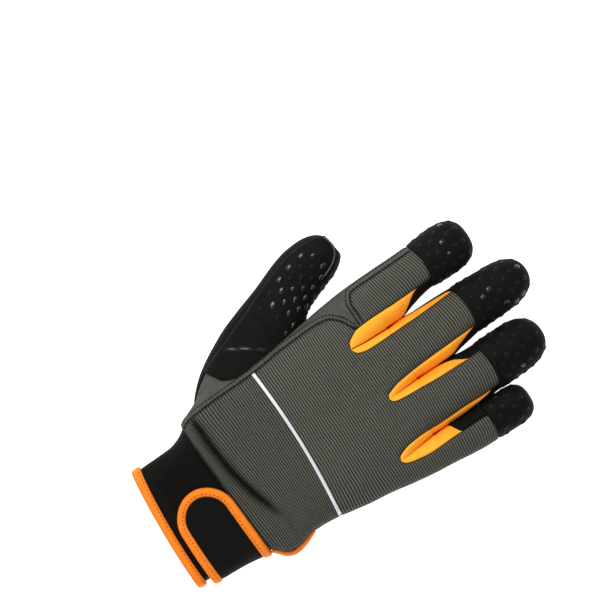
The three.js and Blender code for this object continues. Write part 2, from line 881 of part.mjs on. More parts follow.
const discCells = ovalRing(BADGE.x, BADGE.y, [0, -1.6, 0, 0], [0, -1.6, 5.6, 5.9], 1, 24);

const looks = {
  ribbed: ["#55554d", 0.95],
  suede: ["#5f5f5a", 0.95],
  black: ["#141412", 0.85],
  neoprene: ["#121212", 0.9],
  orange: ["#ffa52d", 0.85],
  binding: ["#fa8723", 0.85],
  reflective: ["#d7e1e6", 0.35],
  grip: ["#0e0e0d", 0.6],
  loop: ["#161615", 1],
  badge: ["#969682", 0.6],
  disc: ["#5f5f5f", 0.6],
};
// Each piece cut from the hand's surface: its look, how far its outside lies off that surface, and its thickness.
const cut = {
  back_panel: ["ribbed", 0, CLOTH],
  index_back_panel: ["ribbed", 0, CLOTH],
  wrist_panel: ["ribbed", 0, CLOTH],
  palm_panel: ["suede", 0, CLOTH],
  cuff: ["neoprene", -1.4, NEOPRENE],
  cuff_binding: ["binding", 0.2, 4.2],
  gusset_index_middle: ["orange", -0.2, STRETCH - 0.3],
  gusset_middle_ring: ["orange", -0.2, STRETCH - 0.3],
  gusset_ring_little: ["orange", -0.2, STRETCH - 0.3],
  fourchette_index_middle: ["black", -0.2, STRETCH],
  fourchette_middle_ring: ["black", -0.2, STRETCH],
  fourchette_ring_little: ["black", -0.2, STRETCH],
  index_fingertip: ["grip", 0.3, 2.1],
  middle_fingertip: ["grip", 0.3, 2.1],
  ring_fingertip: ["grip", 0.3, 2.1],
  little_fingertip: ["grip", 0.3, 2.1],
};
// Each piece laid over the surface, the same way.
const laid = {
  reflective_piping: ["reflective", overlay(true, [[87.6, -47.5, 43.8], [89.6, -47.5, 43.8]], 18), 1.5, 1.2],
  loop_patch: ["loop", overlay(true, [[8.5, -29, 12], [18, -31, 12], [28, -31, 12], [37.2, -29, 12]], 5), 0.1, 1.1],
  strap: ["neoprene", strapCells, 2.6, 2.1],
  strap_binding: ["binding", bindingCells, 3.3, 2.8],
  vent_binding: ["binding", ventCells, null, null],
  thenar_patch: ["grip", thenarCells, CONTACT, CONTACT - 0.3],
  palm_patch: ["grip", palmPatchCells, CONTACT, CONTACT - 0.3],
  knuckle_patch: ["grip", knuckleCells, CONTACT, CONTACT - 0.3],
  index_patch: ["grip", indexPatchCells, CONTACT, CONTACT - 0.3],
  pull_tab: ["suede", pullTabCells, 0.2, 1.3],
  tab_badge: ["badge", badgeCells, 1.3, 0.8],
  tab_disc: ["disc", discCells, 1.3, 0.8],
};

// The frame's origin, under the middle of the glove, in the coordinates used above.
const ORIGIN = [-17.46, 121.63, 0];

const glove = new THREE.Group();
glove.name = "assembly_glove";
function add(name, look, { at, faces }) {
  const geometry = new THREE.BufferGeometry();
  geometry.setAttribute("position", new THREE.Float32BufferAttribute(at, 3));
  geometry.setIndex(faces);
  geometry.computeVertexNormals();
  const [color, roughness] = looks[look];
  const made = new THREE.Mesh(geometry, new THREE.MeshStandardMaterial({ color, roughness }));
  made.name = name;
  made.position.set(-ORIGIN[0], -ORIGIN[1], -ORIGIN[2]);
  glove.add(made);
}
// A piece cut free of other bodies; of what is left, the biggest body is the piece.
function freeOf(made, ...others) {
  const left = others.reduce((whole, other) => whole.subtract(other), solid(made));
  return fromSolid(left.decompose().reduce((a, b) => (b.volume() > a.volume() ? b : a)));
}

// The webs with a seam's gap around them: the gussets and the suede are cut free of these.
const webs = slits.map((s, k) => {
  const near = pieces.get(fourchetteNames[k]).filter((corners) => corners.some((p) => p[1] < s.crotch + 0.1));
  return solid(cloth(near, 0.1, STRETCH + 0.6, shared, -0.3));
});
const side = (k) => solid(cloth(pieces.get(fourchetteNames[k]), -0.2, STRETCH, shared));
for (const [name, [look, lift, thick]] of Object.entries(cut)) {
  const made = cloth(pieces.get(name), lift, thick, shared);
  const k = gussetNames.indexOf(name);
  if (name === "palm_panel") add(name, look, freeOf(made, thumbBody, ...webs));
  else add(name, look, k >= 0 ? freeOf(made, webs[k], side(k)) : made);
}
for (const [name, cells, look] of [
  ["thumb_back", backCells, "black"],
  ["thumb_palm", frontCells, "suede"],
]) {
  add(name, look, freeOf(cloth(cells, 0, STRETCH, shared), handBody));
}
const thumbPatchCells = thumbCells((u) => topSeam(u) - 0.004, () => 0.66, 10, thumbRows.slice(1, 14));
add("thumb_patch", "grip", freeOf(cloth(thumbPatchCells, 1.6, 1.05), handBody));
for (const [name, [look, cells, lift, thick]] of Object.entries(laid)) {
  const made = name === "vent_binding" ? cloth(cells, (y) => ventLift(y), (y) => ventLift(y) - 0.6) : cloth(cells, lift, thick);
  add(name, look, name === "thenar_patch" ? freeOf(made, thumbBody) : made);
}

export default glove;
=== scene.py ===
# %% [markdown]
# # An assembly glove, dressed
#
# The glove lies on its palm: ribbed grey back, grey suede palm that wraps up round the index side, orange
# stretch gussets between the fingers, black dotted fingertips, a black stretch cuff with orange edges and
# a closing strap. The shape of the hand is one surface, described by short tables. Each pattern piece is
# cut from that surface and gets its own cloth, seam, ribs, dots and stitches. Lengths are millimetres
# until a mesh is made.

import math

import bpy
import numpy as np
from mathutils import Matrix, Vector
from mathutils.kdtree import KDTree


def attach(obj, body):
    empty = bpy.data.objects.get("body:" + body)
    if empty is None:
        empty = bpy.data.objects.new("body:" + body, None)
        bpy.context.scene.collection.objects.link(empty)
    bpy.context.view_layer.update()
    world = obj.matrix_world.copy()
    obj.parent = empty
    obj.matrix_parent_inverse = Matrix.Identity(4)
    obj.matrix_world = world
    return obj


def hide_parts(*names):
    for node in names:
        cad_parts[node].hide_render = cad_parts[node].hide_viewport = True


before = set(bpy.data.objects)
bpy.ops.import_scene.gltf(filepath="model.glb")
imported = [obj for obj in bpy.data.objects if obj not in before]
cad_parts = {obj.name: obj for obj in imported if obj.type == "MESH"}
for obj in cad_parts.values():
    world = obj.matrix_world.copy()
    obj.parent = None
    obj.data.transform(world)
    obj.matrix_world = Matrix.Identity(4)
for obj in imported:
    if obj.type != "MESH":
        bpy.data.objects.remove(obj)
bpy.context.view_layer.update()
ORIGIN = np.array([-17.46, 121.63, 0.0])
MM = 0.001
rng = np.random.default_rng(7)

# %% [markdown]
# ## Curves from tables
# Every width, height and seam is a smooth curve through a few rows. The curve never overshoots its rows,
# so a silhouette stays where it was read.


# %% Tables
class Table:
    """Named columns over a first one; a column is called with places and gives the smooth values there."""

    def __init__(self, names, rows):
        rows = np.array(rows, float)
        for name, values in zip(names.split()[1:], rows.T[1:]):
            setattr(self, name, self.column(rows[:, 0], values))

    @staticmethod
    def column(x, v):
        h = np.diff(x)
        slope = np.diff(v) / h
        a, b = slope[:-1], slope[1:]
        with np.errstate(divide="ignore", invalid="ignore"):
            inner = np.where(a * b > 0, 2 * a * b / (a + b), 0)
        tangent = np.concatenate([slope[:1], inner, slope[-1:]])

        def at(place):
            q = np.clip(place, x[0], x[-1])
            i = np.clip(np.searchsorted(x, q, side="right") - 1, 0, len(x) - 2)
            t = (q - x[i]) / h[i]
            return (
                v[i] * (2 * t**3 - 3 * t**2 + 1)
                + tangent[i] * h[i] * (t**3 - 2 * t**2 + t)
                + v[i + 1] * (3 * t**2 - 2 * t**3)
                + tangent[i + 1] * h[i] * (t**3 - t**2)
            )

        return at


def mix(a, b, t):
    return a + (b - a) * t


def ease(t):
    c = np.clip(t, 0, 1)
    return c * c * (3 - 2 * c)


def rounding(a, b, n, turn=math.pi / 2):
    """Places from a to b that crowd towards b, where a tip rounds off."""
    return mix(a, b, np.sin(np.linspace(0, turn, n)))


def walked(path):
    """The length walked along a path at each of its points."""
    return np.concatenate([[0], np.cumsum(np.linalg.norm(np.diff(path, axis=0), axis=1))])


def on_path(at, length, path):
    """Points of a path at walked lengths."""
    return np.stack([np.interp(at, length, path[:, k]) for k in range(3)], axis=-1)


# %% [markdown]
# ## The hand's surface
# Seen from above the hand is an outline; from the side it is a top line, a side line and an underside.
# Four lanes run from the wrist into the fingers. A lane's section is a full oval in the finger and a part
# of one wide oval in the hand, and each slit between two fingers starts as a groove that deepens up to
# the crotch.

# %% The hand's sizes
OUTLINE = Table(
    "y left right",
    [
        [-4, -39.6, 35.0],
        [5, -40.2, 35.6],
        [15, -40.3, 36.0],
        [24, -40.5, 36.6],
        [31, -42.0, 37.6],
        [38, -45.3, 39.6],
        [42, -47.4, 42.8],
        [46, -48.4, 46.8],
        [50, -49.3, 48.0],
        [55.5, -51.8, 47.4],
        [61, -55.4, 46.2],
        [68, -57.8, 44.8],
        [74, -56.8, 44.8],
        [81, -54.4, 45.2],
        [88, -54.0, 46.0],
        [95, -54.0, 47.4],
        [104, -54.2, 49.4],
        [114, -54.8, 50.8],
        [125, -55.6, 53.0],
        [140, -57.4, 55.4],
        [155, -58.7, 57.0],
        [165, -59.0, 58.4],
        [175, -59.1, 59.4],
        [190, -59.1, 59.9],
        [200, -59.3, 60.3],
        [214, -60.4, 60.5],
    ],
)
BODY = Table(
    "y top side under",
    [
        [-4, 29, 16.5, 5.0],
        [20, 31, 17.0, 5.0],
        [38, 34.5, 17.0, 4.0],
        [50, 36, 17.0, 1.0],
        [70, 38.5, 17.5, -1.5],
        [90, 40.5, 18.0, -1.5],
        [112, 41, 18.6, -0.5],
        [130, 40, 19.0, 1.5],
    ],
)
FINGER = Table(
    "along top side under",
    [
        [0, 40, 19.0, 1.5],
        [0.15, 38.5, 20.0, 5.0],
        [0.3, 35.5, 20.5, 8.0],
        [0.5, 31, 19.0, 7.5],
        [0.7, 27, 15.6, 4.6],
        [0.85, 24.8, 13.2, 2.4],
        [1, 23.5, 12.2, 1.8],
    ],
)
KNUCKLES = 130
# The palm rests on its overlays, so the suede stays this high.
CONTACT = 1.7
# Half the height of the web between two fingers.
CROTCH = 2.6
# How wide a finger's side strip is on the palm side, and how far in a finger's section is rounded.
SIDE_STRIP = 5.5
FINGER_SHOULDER = 14.6
# Rows where the cuff meets the wrist panel and the palm, and the row of the piping.
HEM = 38.8
PALM_HEM = 50
PIPING = 88.6
# The row where the cuff's tape ends, and the rows of the suede that crosses below the index panel.
TAPE_TOP = 1.2
INDEX_FOOT = (149, 154.8)
TIPS = Table("x y", [[-59, 229], [-46, 231], [-11, 247.5], [22, 235.5], [49, 209.3], [60, 207]])
BEND = Table(
    "y left middle right",
    [
        [-3.8, 4.2, 0, -0.8],
        [1.2, 4.8, 0, -0.4],
        [20, 1, 0, 0],
        [38.8, -1.8, 0, 1.4],
        [50, -6, 0, 2],
        [66, -2, 0, 0],
        [88.6, -0.6, 0, -4.6],
        [104, 0, 0, -2],
        [120, 0, 0, 0],
    ],
)
CREASE = Table(
    "x y", [[-47, 51.5], [-37, 50.3], [-24, 48.8], [-11, 48.4], [0, 49.4], [8, 50.7], [18, 53.1], [30, 56.5]]
)
SEAM_BELOW = Table(
    "y x",
    [
        [-4, -33],
        [30, -36],
        [38.8, -43.4],
        [60, -47.4],
        [88, -48.2],
        [110, -50.4],
        [130, -51],
        [138, -50],
        [144, -45.4],
        [149, -36.1],
    ],
)
SEAM_ABOVE = Table("y x", [[154.8, -50], [157.5, -54.6], [161, -55.5], [191, -55.6], [213, -56.5]])

# %% The slits between the fingers
SLITS = [
    {
        "notch": 141,
        "crotch": 163.5,
        "line": Table(
            "y x", [[-4, -20.5], [38, -23.5], [88, -26.5], [141, -28.4], [150, -27.4], [163.5, -26.8]]
        ),
        "panel": Table(
            "y left right",
            [
                [141, -28.4, -28.4],
                [141.8, -31.6, -26],
                [144, -33.4, -24.5],
                [150, -36, -23.4],
                [160, -36.4, -23.3],
                [175, -36, -23.5],
                [191, -36, -23.9],
                [206, -36.4, -24.4],
                [228, -38, -21.5],
            ],
        ),
        "orange": Table(
            "y left right",
            [
                [172, 1, 0.95],
                [180, 0.6, 0.8],
                [191, 0, 0.62],
                [198, 0, 0.5],
                [204, 0, 0.4],
                [206, 0, 0],
            ],
        ),
    },
    {
        "notch": 143.3,
        "crotch": 161.5,
        "line": Table("y x", [[-4, -2], [38, 0], [88, 3], [143.3, 6.3], [161.5, 5.8]]),
        "panel": Table(
            "y left right",
            [
                [143.3, 6.3, 6.3],
                [144, 4.2, 8],
                [146, 3.4, 9],
                [152, 1.8, 9.8],
                [162, 0.9, 10.6],
                [175, 0.2, 11.6],
                [190, -0.2, 12],
                [206, -0.5, 11.6],
                [228, -2.5, 12.5],
            ],
        ),
        "orange": Table("y left right", [[170, 1, 1], [184, 0.75, 0.5], [193, 0.45, 0], [205, 0, 0]]),
    },
    {
        "notch": 129.5,
        "crotch": 151.5,
        "line": Table(
            "y x", [[-4, 16.5], [38, 20], [88, 28], [129.5, 38.4], [135, 38.2], [140, 37.6], [151.5, 36.8]]
        ),
        "panel": Table(
            "y left right",
            [
                [129.5, 38.4, 38.4],
                [130.2, 36.4, 40.3],
                [132, 35.5, 41.4],
                [138, 33.8, 42.9],
                [148, 33.3, 44],
                [160, 34, 43.6],
                [175, 34, 43.7],
                [190, 34.6, 44.4],
                [216, 32, 44.4],
            ],
        ),
        "orange": Table("y left right", [[161.5, 1, 1], [166.5, 0.9, 0], [180, 0.5, 0], [193, 0, 0]]),
    },
]

# %% The fingers
FINGERS = [
    {
        "name": "index",
        "round": 213,
        "tip": 231,
        "square": 2.7,
        "cap": 200,
        "bow": 3.2,
        "right": Table(
            "y x",
            [
                [163.5, -27.0],
                [176, -27.5],
                [185, -29.5],
                [192, -31.0],
                [200, -31.9],
                [206, -31.5],
                [222, -31.2],
            ],
        ),
        "rows": [168, 172, 180, 191, 200, 206, 213],
    },
    {
        "name": "middle",
        "round": 226,
        "tip": 247.5,
        "square": 2.3,
        "cap": 206.8,
        "bow": 2.6,
        "left": Table(
            "y x", [[163.5, -26.6], [176, -26.9], [190, -26.8], [200, -26.5], [215, -25.5], [226, -24.8]]
        ),
        "right": Table(
            "y x", [[161.5, 5.6], [178, 5.9], [188, 6.2], [195, 5.4], [202, 4.4], [210, 3.3], [226, 3.1]]
        ),
        "rows": [168, 175, 184, 195, 205, 206.8, 216, 226],
    },
    {
        "name": "ring",
        "round": 216,
        "tip": 235.5,
        "square": 2.3,
        "cap": 200,
        "bow": 2.6,
        "left": Table("y x", [[161.5, 6.0], [178, 6.3], [190, 6.9], [200, 7.4], [222, 7.7]]),
        "right": Table("y x", [[151.5, 36.6], [175, 36.9], [190, 37.1], [204, 37.1], [216, 36.8]]),
        "rows": [168, 175, 184, 193, 200, 208, 216],
    },
    {
        "name": "little",
        "round": 195,
        "tip": 209.3,
        "square": 2.9,
        "cap": 183,
        "bow": 1.6,
        "left": Table("y x", [[151.5, 37.0], [175, 37.3], [190, 37.6], [204, 37.8]]),
        "rows": [166.5, 174, 183, 189, 195],
    },
]
# Rows that every lane has: seams, notches and crotches, with even rows between them.
BODY_ROWS = [-3.8, TAPE_TOP, 14, 27, HEM, 42, 46, PALM_HEM, 54, 61, 74, PIPING, 101, 115, 129.5, 130.4]
BODY_ROWS += [133.5, 141, 141.9, 143.3, 144.2, 147, INDEX_FOOT[0], 151.5, INDEX_FOOT[1], 161.5, 163.5]


# %% The surface as functions
def bent(x, y):
    """Where a point of a row lies along the hand: rows near the wrist bend away from straight."""
    t = x / 45
    left, middle, right = BEND.left(y), BEND.middle(y), BEND.right(y)
    return y + middle + (right - left) / 2 * t + ((left + right) / 2 - middle) * t * t


def lane(i, y):
    """Left edge, right edge, half width and tip rounding of a finger's lane."""
    finger = FINGERS[i]
    q = np.clip((y - finger["round"]) / (finger["tip"] - finger["round"]), 0, 1)
    closing = (1 - q ** finger["square"]) ** (1 / finger["square"])
    at = np.minimum(y, finger["round"])

    def inner(k, side):
        return np.where(at > SLITS[k]["crotch"], finger[side].x(at), SLITS[k]["line"].x(at))

    left = OUTLINE.left(at) if i == 0 else inner(i - 1, "left")
    right = OUTLINE.right(at) if i == 3 else inner(i, "right")
    middle = (left + right) / 2
    half = (right - left) / 2 * closing
    return middle - half, middle + half, half, closing


def shoulder(distance, wide, p):
    """How full the section is at a distance from its edge."""
    t = np.clip(distance / np.maximum(wide, 1e-6), 0, 1)
    return (1 - (1 - t) ** p) ** (1 / p)


def creased(x, y):
    """How far a place is past the wrist crease, and how much of the crease there is."""
    return y - CREASE.y(x), ease((x + 49) / 8) * ease((32 - x) / 22)


def folds(x, y):
    """The wrist crease, the puffed ridges beside it and soft waves over the back."""

    def dip(at, wide):
        return np.exp(-((at / wide) ** 2))

    past, much = creased(x, y)
    valley = -2.6 * np.exp(-np.abs(past) / 1.1) - 1.9 * dip(past, 3.0)
    ridges = 1.7 * dip(past + 5.2, 2.6) + 1.2 * dip(past - 5.0, 3.4) - 0.5 * dip(past - 9.5 + x / 18, 1.6)
    waves = -0.9 * dip(y - 86, 9) * (1 - (x / 60) ** 2) + 0.5 * np.sin(x / 9 + y / 23) * dip(y - 118, 26)
    return (valley + ridges) * mix(0.25, 1, much) + waves


def height(i, x, y, upper):
    """Height of the upper or under surface in a finger's lane."""
    left_edge, right_edge, half, closing = lane(i, y)
    along = (y - KNUCKLES) / (TIPS.y(x) - KNUCKLES)
    wrist = y <= KNUCKLES
    top = np.where(wrist, BODY.top(y), FINGER.top(along))
    side = np.where(wrist, BODY.side(y), FINGER.side(along))
    under = np.where(wrist, BODY.under(y), FINGER.under(along))
    reach = top - side if upper else side - under
    turn = ease((y - 118) / 48)
    p = mix(2.7 if upper else 2.9, 2.15, turn)
    half_hand = (OUTLINE.right(y) - OUTLINE.left(y)) / 2
    outer = mix(half_hand, FINGER_SHOULDER * closing, turn)
    left = left_edge if i == 0 else OUTLINE.left(y)
    right = right_edge if i == 3 else OUTLINE.right(y)
    full = shoulder(x - left, outer, p) * shoulder(right - x, outer, p)
    for k, distance in ((i - 1, x - left_edge), (i, right_edge - x)):
        if not 0 <= k < 3:
            continue
        slit = SLITS[k]
        opened = ease((y - slit["notch"]) / (slit["crotch"] + 10 - slit["notch"]))
        wide = mix(7, FINGER_SHOULDER * closing, opened)
        start = slit["notch"] if upper else slit["crotch"] - 12
        t = np.clip((y - start) / (slit["crotch"] - start), 0, 1)
        deep = np.where(y > slit["crotch"], 1, (1 - CROTCH / reach) * t ** (0.85 if upper else 1.4))
        full = full * (1 - deep * (1 - shoulder(distance, np.minimum(wide, half), 2.15)))
    if upper:
        return side + reach * full * closing + folds(x, y) * ease(full * 1.6 - 0.5)
    return np.maximum(side - reach * full * closing, CONTACT)


def bow(i, x, y):
    """Rows near a fingertip's seam curve towards the tip in their middle."""
    finger = FINGERS[i]
    left, right, half, closing = lane(i, np.minimum(y, finger["round"]))
    t = np.clip((x - (left + right) / 2) / half, -1, 1)
    grow = ease((y - finger["cap"] + 26) / 26) * ease((finger["tip"] - y) / (finger["tip"] - finger["cap"]))
    return finger["bow"] * grow * (0.55 - t * t)


def point(i, x, y, upper):
    x, y = np.broadcast_arrays(x, y)
    return np.stack([x, bent(x, y) + bow(i, x, y), height(i, x, y, upper)], axis=-1)


def lane_of(x, y):
    """The lane that a place on the hand lies in."""
    return sum((x > slit["line"].x(y)).astype(int) for slit in SLITS)


def place(x, y, upper):
    """Points of the surface at any places, whatever their lanes."""
    x, y = np.broadcast_arrays(np.asarray(x, float), np.asarray(y, float))
    lanes = lane_of(x, y)
    made = np.zeros(x.shape + (3,))
    for i in range(4):
        inside = lanes == i
        if inside.any():
            made[inside] = point(i, x[inside], y[inside], upper)
    return made


# %% [markdown]
# ## Cutting the pieces
# Across a lane the surface is cut into groups of columns: side strip, orange strip, panel, orange strip,
# side strip above, and side strip, palm, side strip below. A piece is the set of groups and rows that
# carry its name.


# %% Groups of columns
def strip(edge, inner, start, end, n, rounded, half):
    """Places from an edge inwards. Where a side is round (1) they crowd towards the edge, which stands up."""
    wide = np.maximum(half, 1e-6)
    turn = np.arccos(np.clip(1 - np.abs(inner - edge) / wide, -1, 1))
    t = mix(start, end, np.linspace(0, 1, n + 1))
    d = mix(np.abs(inner - edge) * t, wide * (1 - np.cos(turn * t)), rounded)
    return edge + np.sign(inner - edge) * d


def across(i, y, upper, panel, side):
    """Places across a lane, one array for each group of columns; y is a column of rows."""
    left, right, half, closing = lane(i, y)
    finger = FINGERS[i]
    at = np.minimum(y, finger["round"])
    middle = (left + right) / 2

    def pull(x):
        """Seams draw together over the rounded tip, as the lane does."""
        return np.where(y > finger["round"], middle + (x - middle) * closing, x)

    def side_below(k):
        """Below, a side strip starts at its crotch and soon has its whole width."""
        return np.clip((y - SLITS[k]["crotch"]) / 5, 0, 1) * SIDE_STRIP * closing

    even = np.linspace(0, 1, panel + 1)
    left_open = ease((y - SLITS[i - 1]["crotch"]) / 12) if i > 0 else 1
    right_open = ease((y - SLITS[i]["crotch"]) / 12) if i < 3 else 1
    if upper:
        l, r = left, right
        if i > 0:
            s = SLITS[i - 1]
            l = np.where(y > s["notch"], np.maximum(left, pull(s["panel"].right(at))), l)
        if i < 3:
            s = SLITS[i]
            r = np.where(y > s["notch"], np.minimum(right, pull(s["panel"].left(at))), r)
        if i == 0:
            l = np.minimum(pull(np.where(y < 152, SEAM_BELOW.x(at), SEAM_ABOVE.x(at))), r)
        lo = 1 - SLITS[i - 1]["orange"].right(y) if i > 0 else 1
        ro = 1 - SLITS[i]["orange"].left(y) if i < 3 else 1
        groups = [strip(left, l, 0, lo, side, left_open, half)]
        groups.append(None if i == 0 else strip(left, l, lo, 1, side, left_open, half))
        groups.append(mix(l, r, even))
        groups.append(None if i == 3 else strip(right, r, ro, 1, side, right_open, half)[:, ::-1])
        groups.append(None if i == 3 else strip(right, r, 0, ro, side, right_open, half)[:, ::-1])
        return groups
    l = left + (np.minimum(9, half * 0.6) if i == 0 else side_below(i - 1))
    r = right - (np.minimum(SIDE_STRIP, half * 0.5) if i == 3 else side_below(i))
    return [
        strip(left, l, 0, 1, side, left_open, half),
        mix(l, r, even),
        strip(right, r, 0, 1, side, right_open, half)[:, ::-1],
    ]


GUSSETS = ["gusset_index_middle", "gusset_middle_ring", "gusset_ring_little"]
SIDES = ["fourchette_index_middle", "fourchette_middle_ring", "fourchette_ring_little"]


def piece_of(i, group, y, upper):
    """The pattern piece of a lane, a group of columns and the row where it starts."""
    if y >= FINGERS[i]["cap"]:
        return FINGERS[i]["name"] + "_fingertip"
    if y < TAPE_TOP:
        return "cuff_binding"
    if y < (HEM if upper else PALM_HEM):
        return "cuff"
    if upper:
        if group == 0:
            return "palm_panel" if i == 0 else SIDES[i - 1]
        if group == 1:
            return GUSSETS[i - 1]
        if group == 3:
            return GUSSETS[i]
        if group == 4:
            return SIDES[i]
        if i == 0 and y >= INDEX_FOOT[0]:
            return "palm_panel" if y < INDEX_FOOT[1] else "index_back_panel"
        return "wrist_panel" if y < PIPING else "back_panel"
    if group == 0 and i > 0:
        return SIDES[i - 1]
    if group == 2 and i < 3:
        return SIDES[i]
    if group == 2 and y >= PALM_HEM:
        return "wrist_panel" if y < PIPING else "back_panel"
    return "palm_panel"


# %% Grids of a piece
def fine_rows(i, step):
    """The rows of a lane, divided finely enough; the tip's rows crowd where it rounds off."""
    finger = FINGERS[i]
    base = BODY_ROWS + finger["rows"]
    rows = []
    for a, b in zip(base, base[1:]):
        rows += list(np.linspace(a, b, max(1, math.ceil((b - a) / step)) + 1)[:-1])
    n = max(6, math.ceil((finger["tip"] - finger["round"]) * 1.3 / step))
    return base, np.array(rows + list(rounding(finger["round"], finger["tip"], n)))


print("rows of the middle finger's lane at 1 mm:", len(fine_rows(1, 1.0)[1]))

# %% [markdown]
# ## From points to cloth
# A pattern piece is a thin shell: an outer face lifted off the surface by the cloth's place in the stack,
# and an inner face one thickness below. Where two pieces meet, the real cloth turns down into the seam,
# so the outer face sinks near its border and shows the seam as a shallow valley. Each point also keeps
# its place on the pattern, which ribs, weave and stitches follow.


# %% Welding grids together
def patterned(grid, x, y):
    """A grid of points with their places on the pattern in columns 3 and 4."""
    return np.concatenate([grid, np.stack(np.broadcast_arrays(x, y), axis=-1)], axis=-1)


def whole(grid, upper):
    """A grid with every row wanted, in the form that weld takes."""
    return grid, np.ones(len(grid) - 1, bool), upper


def weld(grids):
    """Joins grids into one surface with shared corners: (points, faces)."""
    points, quads, offset = [], [], 0
    for grid, wanted, upper in grids:
        rows, columns = grid.shape[:2]
        ids = offset + np.arange(rows * columns).reshape(rows, columns)
        corners = [ids[:-1, :-1], ids[:-1, 1:], ids[1:, 1:], ids[1:, :-1]]
        cells = np.stack(corners, axis=-1)[wanted].reshape(-1, 4)
        quads.append(cells if upper else cells[:, ::-1])
        points.append(grid.reshape(-1, grid.shape[2]))
        offset += rows * columns
    points, quads = np.concatenate(points), np.concatenate(quads)
    _, first, back = np.unique(np.round(points[:, :3], 3), axis=0, return_index=True, return_inverse=True)
    quads = back.reshape(-1)[quads]
    used, quads = np.unique(quads, return_inverse=True)
    faces = [list(dict.fromkeys(face)) for face in quads.reshape(-1, 4).tolist()]
    return points[first][used], [face for face in faces if len(face) > 2]


def normals_of(points, faces):
    """Smooth normals, each face weighing by its area."""
    total = np.zeros((len(points), 3))
    for size in (3, 4):
        f = np.array([face for face in faces if len(face) == size], int).reshape(-1, size)
        a, b, c, d = (points[f[:, k]][:, :3] for k in (0, 1, 2, -1))
        n = np.cross(b - a, c - a) if size == 3 else np.cross(c - a, d - b)
        for corner in range(size):
            np.add.at(total, f[:, corner], n)
    return total / np.maximum(np.linalg.norm(total, axis=1, keepdims=True), 1e-12)


def rim_of(faces):
    """Edges that belong to one face only, in that face's direction."""
    edges = {(a, b) for face in faces for a, b in zip(face, face[1:] + face[:1])}
    return [(a, b) for a, b in edges if (b, a) not in edges]


def rim_distance(points, rim):
    """How far each point is from the piece's border."""
    tree = KDTree(2 * len(rim))
    for k, (a, b) in enumerate(rim):
        tree.insert(points[a][:3], 2 * k)
        tree.insert((points[a][:3] + points[b][:3]) / 2, 2 * k + 1)
    tree.balance()
    return np.array([tree.find(p)[2] for p in points[:, :3]])


# %% A mesh from points
def mesh_object(name, points, faces, marks=None):
    """An object from points in pattern millimetres, with any values that its material reads at each point."""
    mesh = bpy.data.meshes.new(name)
    mesh.from_pydata(((points[:, :3] - ORIGIN) * MM).tolist(), [], faces)
    mesh.shade_smooth()
    for label, values in (marks or {}).items():
        values = np.asarray(values, float)
        kind = "FLOAT" if values.ndim == 1 else "FLOAT_VECTOR"
        layer = mesh.attributes.new(label, kind, "POINT")
        layer.data.foreach_set("value" if values.ndim == 1 else "vector", values.ravel())
    made = bpy.data.objects.new(name, mesh)
    bpy.context.collection.objects.link(made)
    return made


# %% Thick cloth
PIECES = {}
# Thicknesses: ribbed fabric and suede, gussets and finger sides, cuff.
CLOTH = 1.8
STRETCH = 1.5
NEOPRENE = 2.2


def cloth(name, grids, lift, thick, relief=None, valley=0.45, wide=0.9, extra=()):
    """A shell of cloth; lift is its outer face's height. The relief returns (extra lift, rib mark)."""
    points, faces = weld(grids)
    index = {tuple(p): k for k, p in enumerate(np.round(points[:, :3], 3).tolist())}
    for corners in extra:
        faces.append([index[tuple(np.round(c, 3).tolist())] for c in corners])
    normals = normals_of(points, faces)
    rim = rim_of(faces)
    distance = rim_distance(points, rim)
    raised, rib = relief(points, distance) if relief else (0, np.ones(len(points)))
    lift = lift(points) if callable(lift) else lift
    thick = thick(points) if callable(thick) else thick
    up = (lift + raised - valley * np.exp(-((distance / wide) ** 2)))[:, None]
    down = np.broadcast_to(lift - thick, len(points))[:, None]
    outer = points[:, :3] + normals * up
    inner = points[:, :3] + normals * down
    n = len(points)
    walls = [[b, a, n + a, n + b] for a, b in rim]
    faces = faces + [[n + v for v in reversed(face)] for face in faces] + walls
    pattern = np.column_stack([points[:, 3:5], points[:, 2]])
    marks = {
        "rib": np.concatenate([rib, rib]),
        "seam": np.concatenate([distance, distance]),
        "pattern": np.concatenate([pattern, pattern]) * MM,
    }
    made = mesh_object(name, np.concatenate([outer, inner]), faces, marks)
    PIECES[name] = made
    print(f"{name}: {len(faces)} faces")
    return made


# %% [markdown]
# ## The ribbed back
# The back is a stretch fabric with fine ribs across the hand. The ribs are real relief: rows of points
# every third of a millimetre lift and fall with the ribs, so the light catches each one and the edge of
# the glove shows them.


# %% Ribs
def ribs(points, distance):
    """Round ribs with narrow grooves, a little closer on the wrist, fanning out over the fingers. Their mark
    also carries painted shade in the wrist crease.
    """
    x, y = points[:, 3], points[:, 4]
    sway = 0.25 * np.sin(x / 14 + y / 31) + 0.12 * np.sin(x / 3.7 + y / 5.1)
    pitch = np.where(y < PIPING, 1.42, 1.53)
    fan = 0.02 * x - 0.0015 * x * x
    turn = (y - PIPING - fan * ease((y - 120) / 45) + sway) / pitch
    wave = np.abs(np.sin(np.pi * turn)) ** 0.8
    past, much = creased(x, y)
    # Painted shade: along the wrist crease the mark, and so the colour, darkens; the wrist panel's mark is a
    # little lower all over.
    dark = 0.75 * np.exp(-((past / 1.5) ** 2)) + 0.25 * np.exp(-(((past + 1.2) / 3.2) ** 2))
    shade = np.where(y < PIPING, 0.93, 1) * (1 - np.minimum(dark, 1) * much)
    return 0.34 * (wave - 0.6) * np.clip(distance / 0.6, 0, 1), wave * shade


